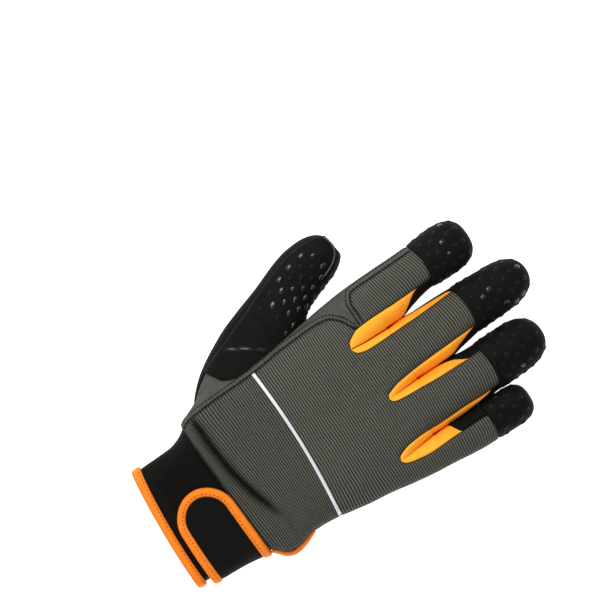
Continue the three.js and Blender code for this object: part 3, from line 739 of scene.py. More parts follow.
# %% Cutting every piece from the hand
def hand_grids(name, step, panel, side):
    """The piece's grids with their pattern places in columns 3 and 4."""
    made = []
    for i in range(4):
        base, rows = fine_rows(i, step)
        starts = np.array([max(b for b in base if b <= y + 1e-6) for y in rows[:-1]])
        for upper in (True, False):
            for group, xs in enumerate(across(i, rows[:, None], upper, panel, side)):
                if xs is None:
                    continue
                wanted = np.array([piece_of(i, group, y, upper) == name for y in starts])
                if not upper and i == 3 and group == 2:
                    wanted &= starts >= PALM_HEM
                if wanted.any():
                    grid = point(i, xs, rows[:, None], upper)
                    made.append((patterned(grid, xs, rows[:, None]), wanted, upper))
    return made


# %% Between two fingers
def web(k, step):
    """Two small faces that close the black sides at a crotch."""
    slit = SLITS[k]
    x = slit["line"].x(slit["crotch"])
    after = [min(y for y in fine_rows(i, step)[1] if y > slit["crotch"] + 1e-6) for i in (k, k + 1)]
    floor, roof = point(k, x, slit["crotch"], True), point(k, x, slit["crotch"], False)
    left = point(k, lane(k, after[0])[1], after[0], True)
    right = point(k + 1, lane(k + 1, after[1])[0], after[1], True)
    return [[floor, roof, left], [floor, right, roof]]


def closing_lift(k):
    """The two sides of a slit touch from the crotch to where the fingers part."""
    parting = (174, 186, 190)[k]
    return lambda points: -0.2 + 0.6 * (1 - ease((points[:, 4] - parting) / 7))


# %% The pieces of the hand
for name in ("back_panel", "index_back_panel", "wrist_panel"):
    cloth(name, hand_grids(name, 0.3, 9, 6), 0, CLOTH, ribs, valley=0.6, wide=1.1)
cloth("palm_panel", hand_grids("palm_panel", 1.2, 9, 8), 0, CLOTH, valley=0.6, wide=1.2)
cloth("cuff", hand_grids("cuff", 1.0, 9, 8), -1.4, NEOPRENE, valley=0)
for k, (gusset, side) in enumerate(zip(GUSSETS, SIDES)):
    lift = closing_lift(k)
    cloth(gusset, hand_grids(gusset, 0.9, 8, 10), lift, STRETCH - 0.3, valley=0.4, wide=0.7)
    cloth(side, hand_grids(side, 0.9, 8, 10), lift, STRETCH, valley=0, extra=web(k, 0.9))
for finger in FINGERS:
    name = finger["name"] + "_fingertip"
    cloth(name, hand_grids(name, 0.9, 10, 10), 0.3, CLOTH + 0.3, valley=0.5)


# %% The cuff's bound edge
def rolled(points, distance):
    """A tape folded over the edge stands up in the middle and drops to both sides."""
    t = np.clip((points[:, 4] + 1.3) / 2.5, -1, 1)
    return 0.9 * np.sqrt(1 - t * t * 0.96) - 0.3, np.ones(len(points))


cloth("cuff_binding", hand_grids("cuff_binding", 0.5, 12, 8), 0.2, 4.2, rolled, valley=0)

# %% [markdown]
# ## The thumb
# The thumb is its own tube: oval rings along a bent axis, black stretch on its back and grey suede
# towards the palm, with a dotted overlay. It starts inside the hand, so its root is hidden, as the seam
# of a set-in thumb is.

# %% The thumb's tube
THUMB = Table(
    "along x y z wide high",
    [
        [-0.1, -34.5, 56.5, 17, 15.5, 10],
        [0, -41.5, 65, 17, 18.4, 11.2],
        [0.1, -49, 74.5, 16, 19.2, 12.2],
        [0.25, -57.5, 91.5, 14.8, 20, 12.6],
        [0.42, -66.5, 110.5, 13.8, 18.2, 12.2],
        [0.6, -75.5, 127, 13, 14.6, 11.4],
        [0.78, -80.8, 142, 12.6, 14.2, 11],
        [0.86, -82.3, 149.5, 12.4, 13.4, 10.8],
        [1, -84.6, 165.5, 12, 12.6, 10.4],
    ],
)
THUMB_ROUND = 0.84
THUMB_TOP = Table("along at", [[0, 0.1], [0.12, 0.18], [0.3, 0.24], [0.6, 0.25], [1, 0.27]])
# A turn and a whole length of the thumb, laid flat.
THUMB_GIRTH = 85
THUMB_LENGTH = 110


def thumb_point(u, turn):
    """A place on the thumb; turn 0 is the outer side, 0.25 the top, 0.5 the side towards the palm."""
    u, turn = np.broadcast_arrays(np.asarray(u, float), np.asarray(turn, float))
    q = np.clip((u - THUMB_ROUND) / (1 - THUMB_ROUND), 0, 1)
    closing = (1 - q**2.3) ** (1 / 2.3)
    a = np.minimum(u, 0.97)
    dx, dy = THUMB.x(a + 0.02) - THUMB.x(a - 0.02), THUMB.y(a + 0.02) - THUMB.y(a - 0.02)
    size = np.hypot(dx, dy)
    out = np.stack([-dy / size, dx / size], axis=-1)
    angle = turn * 2 * np.pi
    wide = THUMB.wide(u) * closing * np.cos(angle)
    x = THUMB.x(u) + out[..., 0] * wide
    y = THUMB.y(u) + out[..., 1] * wide
    z = THUMB.z(u) + THUMB.high(u) * closing * np.sin(angle)
    return np.stack([x, y, z], axis=-1)


def thumb_grid(start, stop, columns, rows):
    """A grid over the thumb between two seams, given as turns along the thumb; rows are columns of u."""
    u = rows[:, None]
    turn = mix(start(u), stop(u), np.linspace(0, 1, columns + 1))
    return [whole(patterned(thumb_point(u, turn), turn * THUMB_GIRTH, u * THUMB_LENGTH), True)]


def top_seam(u):
    return THUMB_TOP.at(u) / 2


def under_seam(u):
    return -0.14 + 0 * u


thumb_rows = np.concatenate([np.linspace(-0.1, THUMB_ROUND, 90), rounding(THUMB_ROUND, 1, 24)[1:]])
cloth("thumb_back", thumb_grid(under_seam, top_seam, 20, thumb_rows), 0, STRETCH)
cloth("thumb_palm", thumb_grid(top_seam, lambda u: 1 + under_seam(u), 36, thumb_rows), 0, STRETCH)

# %% The thumb's overlay
FOLD = {"at": 0.297, "slant": 0.57, "wide": 0.006, "high": 0.75}


def padded(points, distance):
    """The dotted pad stands up from a slanting line on; below it the smooth cloth has one sharp fold."""
    turn, u = points[:, 3] / THUMB_GIRTH, points[:, 4] / THUMB_LENGTH
    past = u - 0.45 + 0.34 * (turn - 0.1)
    away = (u - FOLD["at"] - FOLD["slant"] * (turn - 0.28)) / FOLD["wide"]
    broken = 0.55 + 0.45 * np.sin(turn * 95 + FOLD["at"] * 40)
    fold = np.exp(-(away**2)) * ease((turn - 0.11) / 0.04) * ease((0.42 - turn) / 0.08) * broken
    return 0.9 * ease(past / 0.018 + 0.5) + FOLD["high"] * fold, 1 - fold


def patch_start(u):
    return top_seam(u) - 0.004


def patch_stop(u):
    return 0.66 + 0 * u


patch_rows = np.concatenate([np.linspace(0.1, THUMB_ROUND, 150), rounding(THUMB_ROUND, 0.985, 24, 1.45)[1:]])
patch = thumb_grid(patch_start, patch_stop, 44, patch_rows)
cloth("thumb_patch", patch, 1.4, 1.2, padded, valley=0.6, wide=1.0)


# %% [markdown]
# ## Pieces laid over the cloth
# Overlays, the loop patch, the piping and the pull tab follow the surface below them. Each is a grid
# between two edges, given row by row, and its ends close in so that the outline is round.


# %% Overlays
def laid(upper, rows, step=1.0, columns=16, only=None):
    """A grid between a left and a right edge on the hand's surface."""
    edge = Table("y left right", rows)
    first, last = rows[0][0], rows[-1][0]
    y = np.linspace(first, last, max(3, round((last - first) / step)))[:, None]
    x = mix(edge.left(y), edge.right(y), np.linspace(0, 1, columns + 1))
    grid = place(x, y, upper) if only is None else point(only, x, y, upper)
    return [whole(patterned(grid, x, y), upper)]


THENAR = [
    [60.5, -31, -24],
    [63.5, -35, -19],
    [70, -38.5, -14.5],
    [80, -40.5, -12],
    [92, -41, -11],
    [102, -40.5, -12],
    [109, -38.5, -14.5],
    [114, -35, -18.5],
    [117, -30.5, -24],
]
PALM = [
    [55, 3, 30],
    [59, -1, 35],
    [66, -4.5, 37],
    [80, -6, 38.5],
    [100, -6.5, 40],
    [112, -9.5, 42],
    [119, -17, 43.5],
    [127.5, -21, 45],
]
INDEX = [
    [119.5, -42, -35],
    [123, -46, -32],
    [132, -49.5, -31],
    [140, -51, -31],
    [150, -52, -32],
    [158, -52.5, -34],
    [168, -53, -35.2],
    [178, -53, -36],
    [182.5, -51, -38],
    [184.5, -47, -42],
]
TAB = [[3.5, -11, 5], [7, -13, 7], [14, -12.4, 6.4], [21, -10, 4], [30, -10, 4], [49.3, -10, 4]]
LOOP = [[8.5, -29, 12], [18, -31, 12], [28, -31, 12], [37.2, -29, 12]]


def half_round(high):
    """A relief that stands up in the middle of a strip and drops to its edges."""

    def relief(points, distance):
        t = np.clip(distance / max(distance.max(), 1e-6), 0, 1)
        return high * (np.sqrt(1 - (1 - t) ** 2) - 1), np.ones(len(points))

    return relief


PIPE = [[PIPING - 1, -47.5, 43.8], [PIPING + 1, -47.5, 43.8]]
cloth("reflective_piping", laid(True, PIPE, 0.2, 120), 1.5, 1.2, half_round(0.7), valley=0)
cloth("loop_patch", laid(True, LOOP, 1.0, 40), 0.1, 1.1, valley=0.3)
PAD = {"lift": CONTACT - 0.4, "thick": CONTACT - 0.7, "valley": 0.7, "wide": 1.3}
cloth("thenar_patch", laid(False, THENAR, 1.0, 24), **PAD)
cloth("palm_patch", laid(False, PALM, 1.0, 40), **PAD)
cloth("index_patch", laid(False, INDEX, 1.0, 18, only=0), **PAD)
cloth("pull_tab", laid(False, TAB, 0.8, 20), 0.2, 1.3, valley=0.3)

# %% [markdown]
# ### The knuckle overlay
# One overlay covers the roots of three fingers. It can't be a single grid, because its upper edge ends in
# three tongues, so each finger gives a grid and weld joins them along the lines between the fingers.

# %% The knuckle overlay
TONGUES = {1: 187.0, 2: 177.5, 3: 168.0}


def knuckle_grids():
    """The overlay runs over the palm side of three fingers and ends in a round tongue on each."""
    made = []
    for i, top in TONGUES.items():
        y = np.concatenate([np.linspace(130.4, top - 7, 40), rounding(top - 7, top, 12, 1.45)[1:]])[:, None]
        xs = across(i, y, False, 12, 8)[1]
        tongue = np.sqrt(np.maximum(0, 1 - np.clip((y - (top - 7)) / 7.6, 0, 1) ** 2))
        middle = (xs[:, :1] + xs[:, -1:]) / 2
        x = middle + (xs - middle) * tongue
        made.append(whole(patterned(point(i, x, y, False), x, y), False))
    return made


cloth("knuckle_patch", knuckle_grids(), **PAD)


# %% [markdown]
# ## The strap
# The strap is cut from the cuff's stretch material. It folds round the little-finger side of the wrist,
# so its places are found by walking round that side: a positive walk goes over the back and a negative
# one under the palm.


# %% Walking round the side of the wrist
def walks(y):
    """For one row: a function from walked length to place, and one from x on the back to walked length."""
    edge = lane(3, np.array(y))[1]
    x = edge - 72 * (1 - np.cos(np.linspace(0, 1.4, 300)))
    sides = {}
    for upper in (True, False):
        path = place(x, y, upper)
        sides[upper] = (walked(path), path)

    def at(a):
        a = np.asarray(a, float)
        back, palm = (on_path(np.abs(a), *side) for side in sides.values())
        return np.where((a >= 0)[..., None], back, palm)

    def length_to(target):
        return np.interp(edge - target, edge - x, sides[True][0])

    return at, length_to


# %% The strap and its tape
STRAP = {"x": 5, "y": 22.1, "inner": 12.4, "outer": 17.4, "under": -26}
STRAIGHT = np.linspace(1, 0.02, 70)
ROUND_END = [(0, turn) for turn in np.linspace(-1, 1, 41)]
STRAP_EDGE = [(away, -1) for away in STRAIGHT] + ROUND_END + [(away, 1) for away in STRAIGHT[::-1]]


def beside_strap(away, turn, radius):
    """A place round the strap's middle line: its walked length, its row and its point."""
    angle = turn * math.pi / 2
    row = STRAP["y"] + radius * math.sin(angle)
    at, length_to = walks(row)
    start = length_to(STRAP["x"] - radius * math.cos(angle))
    a = start if away == 0 else mix(length_to(STRAP["x"]), STRAP["under"], away)
    return a, row, at(a)


def strap_grid():
    rows = np.linspace(-STRAP["inner"], STRAP["inner"], 33)
    made = []
    for r in rows:
        at, length_to = walks(STRAP["y"] + r)
        tip = STRAP["x"] - math.sqrt(max(STRAP["inner"] ** 2 - r * r, 0))
        a = mix(length_to(tip), STRAP["under"], np.linspace(0, 1, 90))
        made.append(patterned(at(a), a, r))
    return [whole(np.array(made), True)]


def binding_grid():
    """The tape's width on the strap's edge, with the length walked along its middle as its pattern."""
    radii = np.linspace(STRAP["outer"], STRAP["inner"] + 0.1, 11)
    grid = np.array([[beside_strap(away, turn, radius)[2] for radius in radii] for away, turn in STRAP_EDGE])
    return [whole(patterned(grid, walked(grid[:, 5])[:, None], radii), True)]


cloth("strap", strap_grid(), 2.6, 2.1, valley=0.2)
cloth("strap_binding", binding_grid(), 3.3, 2.8, half_round(1.0), valley=0)

# %% [markdown]
# ## The bound edge and the badge
# Beside the wrist panel a bound edge bulges out of the glove's side: a narrow grid that walks round that
# side like the strap. The badge on the pull tab is an oval ring with a disc in it. Rings of points make
# both, so their edges are truly round.

# %% The bound edge beside the wrist panel
VENT = Table("y lift", [[39, 1.2], [44, 1.8], [50, 2.0], [57, 1.8], [63, 1.3], [68, 0.9]])


VENT_START = 3.4


def vent_grid():
    a = np.linspace(VENT_START, -1.2, 13)
    made = [patterned(walks(y)[0](a), a, y) for y in np.linspace(39.6, 67.3, 56)]
    return [whole(np.array(made), True)]


def vent_lift(points):
    """Against the panel above, and standing out from it at the side."""
    return mix(0.3, VENT.lift(points[:, 4]), ease((VENT_START - points[:, 3]) / 2.4))


def vent_thick(points):
    """Its inner face stays 0.9 mm below the surface, so no gap shows under it."""
    return vent_lift(points) + 0.9


cloth("vent_binding", vent_grid(), vent_lift, vent_thick, half_round(0.25), valley=0)


# %% The badge on the pull tab
BADGE = (-3, 12.5)


def oval_grid(inner, outer, columns):
    angle = np.linspace(0, 2 * np.pi, 65)[:, None]
    t = np.linspace(0, 1, columns + 1)
    x = BADGE[0] + mix(inner[0] + inner[2] * np.cos(angle), outer[0] + outer[2] * np.cos(angle), t)
    y = BADGE[1] + mix(inner[1] + inner[3] * np.sin(angle), outer[1] + outer[3] * np.sin(angle), t)
    x[-1], y[-1] = x[0], y[0]
    return [whole(patterned(place(x, y, False), x, y), False)]


cloth("tab_badge", oval_grid((0, -1.6, 5.6, 5.9), (0, 0, 8.4, 9.2), 6), 1.3, 0.8, valley=0.2)
cloth("tab_disc", oval_grid((0, -1.6, 0, 0), (0, -1.6, 5.6, 5.9), 8), 1.3, 0.8, valley=0.1)

# %% [markdown]
# ## Silicone dots
# The grip pads and fingertips carry printed silicone drops. Each drop is a small dome, longer than wide,
# set in staggered rows. Those on the palm shine; half of them on the thumb and most of them on the
# fingertips are worn matt. Round the fingertips the rows are measured along the cloth, so the drops
# keep their distance on the sides too, as a print on flat cloth would.


# %% Placing small things on a surface
def frames(surface, a, b, da, db):
    """Points, normals and first directions of a surface given as a function of two places."""
    p = surface(a, b)
    u = surface(a + da, b) - surface(a - da, b)
    v = surface(a, b + db) - surface(a, b - db)
    n = np.cross(u, v)
    n /= np.maximum(np.linalg.norm(n, axis=-1, keepdims=True), 1e-12)
    u /= np.maximum(np.linalg.norm(u, axis=-1, keepdims=True), 1e-12)
    return p, n, u


def scatter(name, shape, faces, points, normals, along, sizes):
    """Copies a small shape onto a surface; its x runs along, its z stands on the surface."""
    across_way = np.cross(normals, along)
    made = (
        points[:, None]
        + along[:, None] * (shape[None, :, :1] * sizes[:, None, 0:1])
        + across_way[:, None] * (shape[None, :, 1:2] * sizes[:, None, 1:2])
        + normals[:, None] * (shape[None, :, 2:3] * sizes[:, None, 2:3])
    )
    n = len(shape)
    all_faces = [[v + k * n for v in face] for k in range(len(points)) for face in faces]
    part = mesh_object(name, made.reshape(-1, 3), all_faces)
    print(f"{name}: {len(points)} set, {len(all_faces)} faces")
    return part


def dome(sides, profile):
    """A closed dome from rings of (radius, height), the last one a point."""
    angle = np.arange(sides) * 2 * np.pi / sides
    ring = np.column_stack([np.cos(angle), np.sin(angle), np.ones(sides)])
    rings = [ring * (radius, radius, z) for radius, z in profile[:-1]]
    shape = np.concatenate([*rings, [[0, 0, profile[-1][1]]]])
    faces = [list(range(sides))[::-1]]
    for k in range(len(rings) - 1):
        for j in range(sides):
            a, b = k * sides + j, k * sides + (j + 1) % sides
            faces.append([a, b, b + sides, a + sides])
    top = (len(rings) - 1) * sides
    faces += [[top + j, top + (j + 1) % sides, len(shape) - 1] for j in range(sides)]
    return shape, faces


# %% One drop and its copies
DROP = dome(12, [(1.05, -0.6), (1.0, 0.0), (0.82, 0.38), (0.58, 0.7), (0.3, 0.93), (0, 1.0)])
DROP_PITCH = 7.8
PALM_ROWS = 5.6
TIP_ROWS = 5.3
NEAR = (0.05, 0.05)
EXTRAS = {}


def dots(piece, surface, a, b, lift, size, near=NEAR, kind="silicone"):
    """Silicone drops of a piece, each a little different in size and more so in height."""
    p, n, u = frames(surface, np.array(a, float), np.array(b, float), *near)
    sizes = np.array([size]) * rng.uniform(0.75, 1.12, (len(p), 1))
    sizes[:, 2] *= rng.uniform(0.5, 1.15, len(p))
    part = scatter(f"{piece}_{kind}_drops".replace(" ", "_"), *DROP, p + n * lift, n, u, sizes)
    EXTRAS.setdefault(kind, []).append((piece, part))


def mixed_dots(piece, surface, a, b, lift, size, near, share):
    """Drops of which only a share shines; the others are worn matt."""
    a, b = np.array(a), np.array(b)
    shiny = rng.random(len(a)) < share
    for kind, which in (("silicone", shiny), ("matt silicone", ~shiny)):
        dots(piece, surface, a[which], b[which], lift, size, near, kind)


def staggered(row, count):
    """Even places round a row, from 0 to 1; every other row is half a step on."""
    return (np.arange(count) + 0.25 + 0.5 * (row % 2)) / count


# %% Drops round the fingertips
def tip_surface(i):
    def at(turn, y):
        turn, y = np.broadcast_arrays(turn, y)
        left, right, half, closing = lane(i, y)
        x = (left + right) / 2 - half * np.cos(turn)
        over = np.sin(turn) >= 0
        return np.where(over[..., None], point(i, x, y, True), point(i, x, y, False))

    return at


TIP_DROP = (0.3, (1.4, 1.8, 0.55), (0.02, 0.05))
for i, finger in enumerate(FINGERS):
    surface = tip_surface(i)
    turns, places = [], []
    for row, y in enumerate(np.arange(finger["cap"] + 5, finger["tip"] - 2.0, TIP_ROWS)):
        loop = np.linspace(0, 2 * np.pi, 200)
        length = walked(surface(loop, np.full(200, y)))
        count = max(3, round(length[-1] / DROP_PITCH))
        turns += list(np.interp(staggered(row, count) % 1 * length[-1], length, loop))
        places += [y] * count
    mixed_dots(finger["name"] + "_fingertip", surface, turns, places, *TIP_DROP, share=0.12)


# %% Drops on the thumb
def thumb_surface(turn, u):
    return thumb_point(u, turn)


turns, places = [], []
for row, u in enumerate(np.arange(0.37, 0.92, 0.047)):
    start, stop = max(top_seam(np.array(u)) + 0.035, 0.1 + (0.48 - u) / 0.34), 0.63
    count = max(2, round((stop - start) * THUMB_GIRTH / DROP_PITCH))
    turns += list(mix(start, stop, staggered(row, count)))
    places += [u] * count
THUMB_DROP = (2.25, (1.35, 2.1, 0.7), (0.002, 0.002))
mixed_dots("thumb_patch", thumb_surface, turns, places, *THUMB_DROP, share=0.5)


# %% Drops on the palm pads
def under_hand(x, y):
    """The palm side; its normal comes out downwards because x runs from right to left."""
    return place(-x, y, False)


def lattice(first, last, sides):
    """Drop places in staggered rows between two sides, which are given for each row."""
    xs, ys = [], []
    for row, y in enumerate(np.arange(first, last, PALM_ROWS)):
        left, right = sides(y)
        line = np.arange(-70 + (row % 2) * DROP_PITCH / 2, 70, DROP_PITCH)
        inside = line[(line > left) & (line < right)]
        xs += list(-inside)
        ys += [y] * len(inside)
    return xs, ys


def pad_sides(edges):
    edge = Table("y left right", edges)
    return lambda y: (edge.left(y) + 2.6, edge.right(y) - 2.6)


def tongue_sides(i, top):
    def sides(y):
        row = across(i, np.array([[y]]), False, 12, 8)[1][0]
        narrow = 2.4 + 6 * max(0, (y - top + 7) / 7) ** 2
        return row[0] + narrow, row[-1] - narrow

    return sides


PALM_DROP = (PAD["lift"] - 0.1, (1.25, 1.8, 0.45))
for piece, edges in (("thenar_patch", THENAR), ("palm_patch", PALM), ("index_patch", INDEX)):
    xs, ys = lattice(edges[0][0] + 3.2, edges[-1][0] - 2.4, pad_sides(edges))
    dots(piece, under_hand, xs, ys, *PALM_DROP)
tongues = [lattice(134, top - 2.4, tongue_sides(i, top)) for i, top in TONGUES.items()]
dots("knuckle_patch", under_hand, *(sum(places, []) for places in zip(*tongues)), *PALM_DROP)

# %% The eyelet of the badge
dots("tab_badge", under_hand, [-BADGE[0]], [BADGE[1] + 6.7], 1.25, (1.5, 1.5, 0.15), kind="matt silicone")

# %% [markdown]
# ## Stitching
# Seams that show on the outside are sewn with a visible thread. A stitch is a short thread lying on the
# cloth, both ends sunk where the needle went in. A seam is drawn as a line on the pattern, moved sideways
# for a double row, and cut into equal steps along the cloth.

# %% Stitches
THREAD = dome(6, [(0.3, -1.0), (0.85, -0.62), (1.0, 0), (0.85, 0.62), (0, 1.0)])
THREAD = (THREAD[0][:, [2, 0, 1]], THREAD[1])


def aside(line, distance):
    """A line on the pattern moved sideways; positive is to its left."""
    line = np.array(line, float)
    way = np.gradient(line, axis=0)
    way /= np.linalg.norm(way, axis=1, keepdims=True)
    return line + distance * np.column_stack([-way[:, 1], way[:, 0]])


def sew(piece, thread, line, surface, step=2.1, long=1.35, thick=0.24, lift=0.1):
    """Stitches along a pattern line on a surface."""
    line = np.array(line, float)
    path = surface(line[:, 0], line[:, 1])
    length = walked(path)
    at = np.arange(step / 2, length[-1], step)
    p, n, u = frames(surface, np.interp(at, length, line[:, 0]), np.interp(at, length, line[:, 1]), *NEAR)
    way = on_path(at + 0.3, length, path) - on_path(at - 0.3, length, path)
    way -= n * (way * n).sum(1, keepdims=True)
    way /= np.maximum(np.linalg.norm(way, axis=1, keepdims=True), 1e-9)
    sizes = np.tile([[long / 2, thick, thick]], (len(p), 1)) * rng.uniform(0.94, 1.06, (len(p), 1))
    number = sum(owner == piece for owner, part in EXTRAS.get(thread, []))
    part = scatter(f"{piece}_stitches_{number}", *THREAD, p + n * lift, n, way, sizes)
    EXTRAS.setdefault(thread, []).append((piece, part))


def upper_hand(x, y):
    return place(x, y, True)


# %% Double rows in the suede, a single row on the hem
DOUBLE = {"step": 2.2, "long": 2.0, "thick": 0.34, "lift": 0.0}
y = np.linspace(40.5, 148.6, 300)
back_seam = np.column_stack([SEAM_BELOW.x(y), y])
y = np.linspace(155.0, 198, 200)
index_foot = np.column_stack([np.linspace(-36.6, -49.4, 30), np.full(30, 154.9)])
index_seam = np.concatenate([index_foot, np.column_stack([SEAM_ABOVE.x(y), y])])
for seam, skipped in ((back_seam, 0), (index_seam, 2)):
    for away in (0.25, 2.5):
        sew("palm_panel", "black thread", aside(seam, away)[skipped:], upper_hand, **DOUBLE)
hem = 40.0
x = np.linspace(SEAM_BELOW.x(hem) + 0.8, OUTLINE.right(hem) - 3.5, 200)
sew("wrist_panel", "black thread", np.column_stack([x, np.full(200, hem)]), upper_hand, 1.9, 1.5, 0.2, 0.3)

# %% The suede edge that shows round the thumb's tip
TIP_EDGE = Table(
    "at turn u",
    [[0, 0.17, 0.97], [1, 0.25, 0.978], [2, 0.33, 0.965], [3, 0.37, 0.93], [4, 0.385, 0.86]],
)
t = np.linspace(0, 4, 60)
edge = np.column_stack([TIP_EDGE.turn(t), TIP_EDGE.u(t)])
sew("thumb_palm", "grey thread", edge, thumb_surface, 0.7, 1.4, 0.4, 2.4)

# %% Stitches on the orange edges
for upper, side in ((True, upper_hand), (False, under_hand)):
    x = np.linspace(-38.0, 34.0, 200)
    line = np.column_stack([x if upper else -x, np.full(200, 0.1)])
    sew("cuff_binding", "orange thread", line, side, 2.3, 1.5, 0.34, 0.5)


def strap_surface(a, y):
    """Walked lengths are turned round, so that the normals come out of the strap."""
    return np.array([walks(row)[0](-length) for length, row in zip(a, y)])


line = np.array([beside_strap(away, turn, STRAP["inner"] + 1.8)[:2] for away, turn in STRAP_EDGE])
sew("strap_binding", "orange thread", line * (-1, 1), strap_surface, 2.3, 1.5, 0.3, 3.18)

# %% Stitches on the tab and the badge
angle = np.linspace(0, 2 * np.pi, 120)
rim = np.column_stack([-(BADGE[0] + 7.5 * np.cos(angle)), BADGE[1] + 8.2 * np.sin(angle)])
sew("tab_badge", "grey thread", rim, under_hand, 1.5, 1.0, 0.2, 1.3)
y = np.linspace(22.5, 49, 60)
for side in (-1, 1):
    line = np.column_stack([np.full(60, -(BADGE[0] + side * 5.6)), y])
    sew("pull_tab", "black thread", line, under_hand, 2.0, 1.4, 0.22, 0.2)
print("extras:", {kind: len(parts) for kind, parts in EXTRAS.items()})

# %% [markdown]
# ## Materials
# A finish is a recipe of what changes over the cloth. Shader maths reads like sums, because a small class
# wraps a socket and adds the Math nodes itself.


# %% A socket that can be calculated with
class Value:
    """One output of a node; sums with it add Math nodes."""

    def __init__(self, tree, socket=None):
        self.tree, self.socket = tree, socket

    def node(self, kind, settings=None, inputs=None, output=0):
        made = self.tree.nodes.new(kind)
        for key, setting in (settings or {}).items():
            if key == "stops":
                ramp = made.color_ramp
                while len(ramp.elements) < len(setting):
                    ramp.elements.new(0.5)
                for element, (at, colour) in zip(ramp.elements, setting):
                    element.position, element.color = at, colour
            else:
                setattr(made, key, setting)
        for key, value in (inputs or {}).items():
            if isinstance(value, Value):
                self.tree.links.new(value.socket, made.inputs[key])
            else:
                made.inputs[key].default_value = value
        return Value(self.tree, made.outputs[output])

    def maths(self, operation, *values):
        return self.node("ShaderNodeMath", {"operation": operation}, dict(enumerate(values)))

    def __add__(self, other):
        return self.maths("ADD", self, other)

    def __sub__(self, other):
        return self.maths("SUBTRACT", self, other)

    def __rsub__(self, other):
        return self.maths("SUBTRACT", other, self)

    def __mul__(self, other):
        return self.maths("MULTIPLY", self, other)

    def __pow__(self, other):
        return self.maths("POWER", self, other)

    __radd__, __rmul__ = __add__, __mul__

    def clamped(self):
        return self.maths("MAXIMUM", self.maths("MINIMUM", self, 1.0), 0.0)

    def colours(self, dark, light):
        """A colour between two, by this value."""
        inputs = {0: self}
        for key, colour in ((6, dark), (7, light)):
            inputs[key] = colour if isinstance(colour, Value) else (*colour, 1)
        return self.node("ShaderNodeMix", {"data_type": "RGBA"}, inputs, output=2)

    def mark(self, name, output=2):
        """A value that the mesh carries at its points."""
        return self.node("ShaderNodeAttribute", {"attribute_name": name}, output=output)

    def noise(self, scale, detail=2.0, where=None, roughness=0.5):
        where = where or self.node("ShaderNodeTexCoord", output=3)
        inputs = {"Vector": where, "Scale": scale, "Detail": detail, "Roughness": roughness}
        return self.node("ShaderNodeTexNoise", None, inputs)

    def bump(self, height, distance):
        return self.node("ShaderNodeBump", None, {"Height": height, "Distance": distance})


FINISHES = {}


def finish(name, recipe, **constants):
    """A material whose recipe gives what varies, and whose constants sit on the shader's own sockets."""
    material = FINISHES[name] = bpy.data.materials.new(name + " finish")
    material.use_nodes = True
    tree = material.node_tree
    shader = tree.nodes["Principled BSDF"]
    for key, value in constants.items():
        shader.inputs[key.replace("_", " ").title().replace("Ior", "IOR")].default_value = value
    for key, value in recipe(Value(tree)).items():
        tree.links.new(value.socket, shader.inputs[key])
    print("finish:", name)


def weave(start, across_threads, along_threads):
    """Fine threads both ways, on the pattern so that they follow the cloth."""
    x, y = (start.node("ShaderNodeSeparateXYZ", None, {0: start.mark("pattern", 1)}, k) for k in (0, 1))
    a = start.maths("SINE", x * (2 * math.pi / across_threads))
    b = start.maths("SINE", y * (2 * math.pi / along_threads))
    return a * b * 0.5 + 0.5


# %% [markdown]
# ### Ribbed cloth
# The crests of the ribs catch the light and the grooves stay dark, because little light gets into them.
# The relief is in the mesh; the recipe also paints shade: dark grooves, a dark wrist crease and darker seam
# valleys. It mottles the yarn a little and adds its fine grain.


# %% Ribbed cloth
def ribbed(start):
    rib = start.mark("rib")
    mottle = start.noise(420, 4)
    grain = start.noise(5200, 2)
    yarn = start.noise(1500, 3)
    # Painted shade: the rib mark makes the grooves and the wrist crease dark and the crests light.
    tone = (rib**2.3 * 0.95 + mottle * 0.2 + yarn * 0.35 + grain * 0.15 - 0.34).clamped()
    # Painted shade in the seam valleys: darker within about a millimetre of the border.
    edge = (start.mark("seam") * 0.9).clamped()
    tone = tone * (edge * 0.55 + 0.45)
    return {
        "Base Color": tone.colours((0.0060, 0.0062, 0.0046), (0.130, 0.130, 0.108)),
        "Normal": start.bump(grain, 0.000025),
    }


finish("ribbed", ribbed, roughness=0.9, specular_ior_level=0.12)


# %% [markdown]
# ### Suede
# Brushed synthetic suede has a short nap: no shine, a soft grain of lighter and darker hairs, and a paler
# bloom where it is seen at a flat angle, which the sheen gives.


# %% Suede
def suede(start):
    nap = start.noise(1700, 5, roughness=0.75)
    patches = start.noise(130, 3)
    # Painted shade in the seam valleys: darker near the border.
    edge = (start.mark("seam") * 0.8).clamped()
    tone = (nap * 1.9 + patches * 0.4 - 0.65).clamped() * (edge * 0.5 + 0.5)
    return {
        "Base Color": tone.colours((0.024, 0.025, 0.021), (0.110, 0.112, 0.099)),
        "Normal": start.bump(nap, 0.00006),
    }


finish("suede", suede, roughness=0.95, specular_ior_level=0.08, sheen_weight=0.02, sheen_roughness=0.5)


# %% [markdown]
# ### Black cloths
# Finger sides and thumb are a smooth stretch knit. The pads under the drops are a flecked cloth, glossy only
# along the thumb's fold.
# The cuff is foam faced with jersey, and its loop patch is a short fuzz. All are almost black, so their
# grain shows in the gloss rather than in the colour.


# %% Black cloths
def knit(start):
    threads = weave(start, 0.0009, 0.0007)
    cloud = start.noise(150, 3)
    tone = (threads * 0.35 + cloud * 0.7 - 0.05).clamped()
    return {
        "Base Color": tone.colours((0.0014, 0.0014, 0.0012), (0.0050, 0.0050, 0.0044)),
        "Normal": start.bump(threads + start.noise(3000) * 0.6, 0.00002),
    }


def pad(start):
    fleck = start.noise(3800, 3, roughness=0.65)
    cloud = start.noise(180, 3)
    tone = (fleck * 0.6 + cloud * 0.5 - 0.1).clamped()
    return {
        "Base Color": tone.colours((0.0012, 0.0012, 0.0010), (0.0072, 0.0072, 0.0060)),
        "Coat Weight": 1 - start.mark("rib"),
        "Normal": start.bump(fleck, 0.00004),
    }


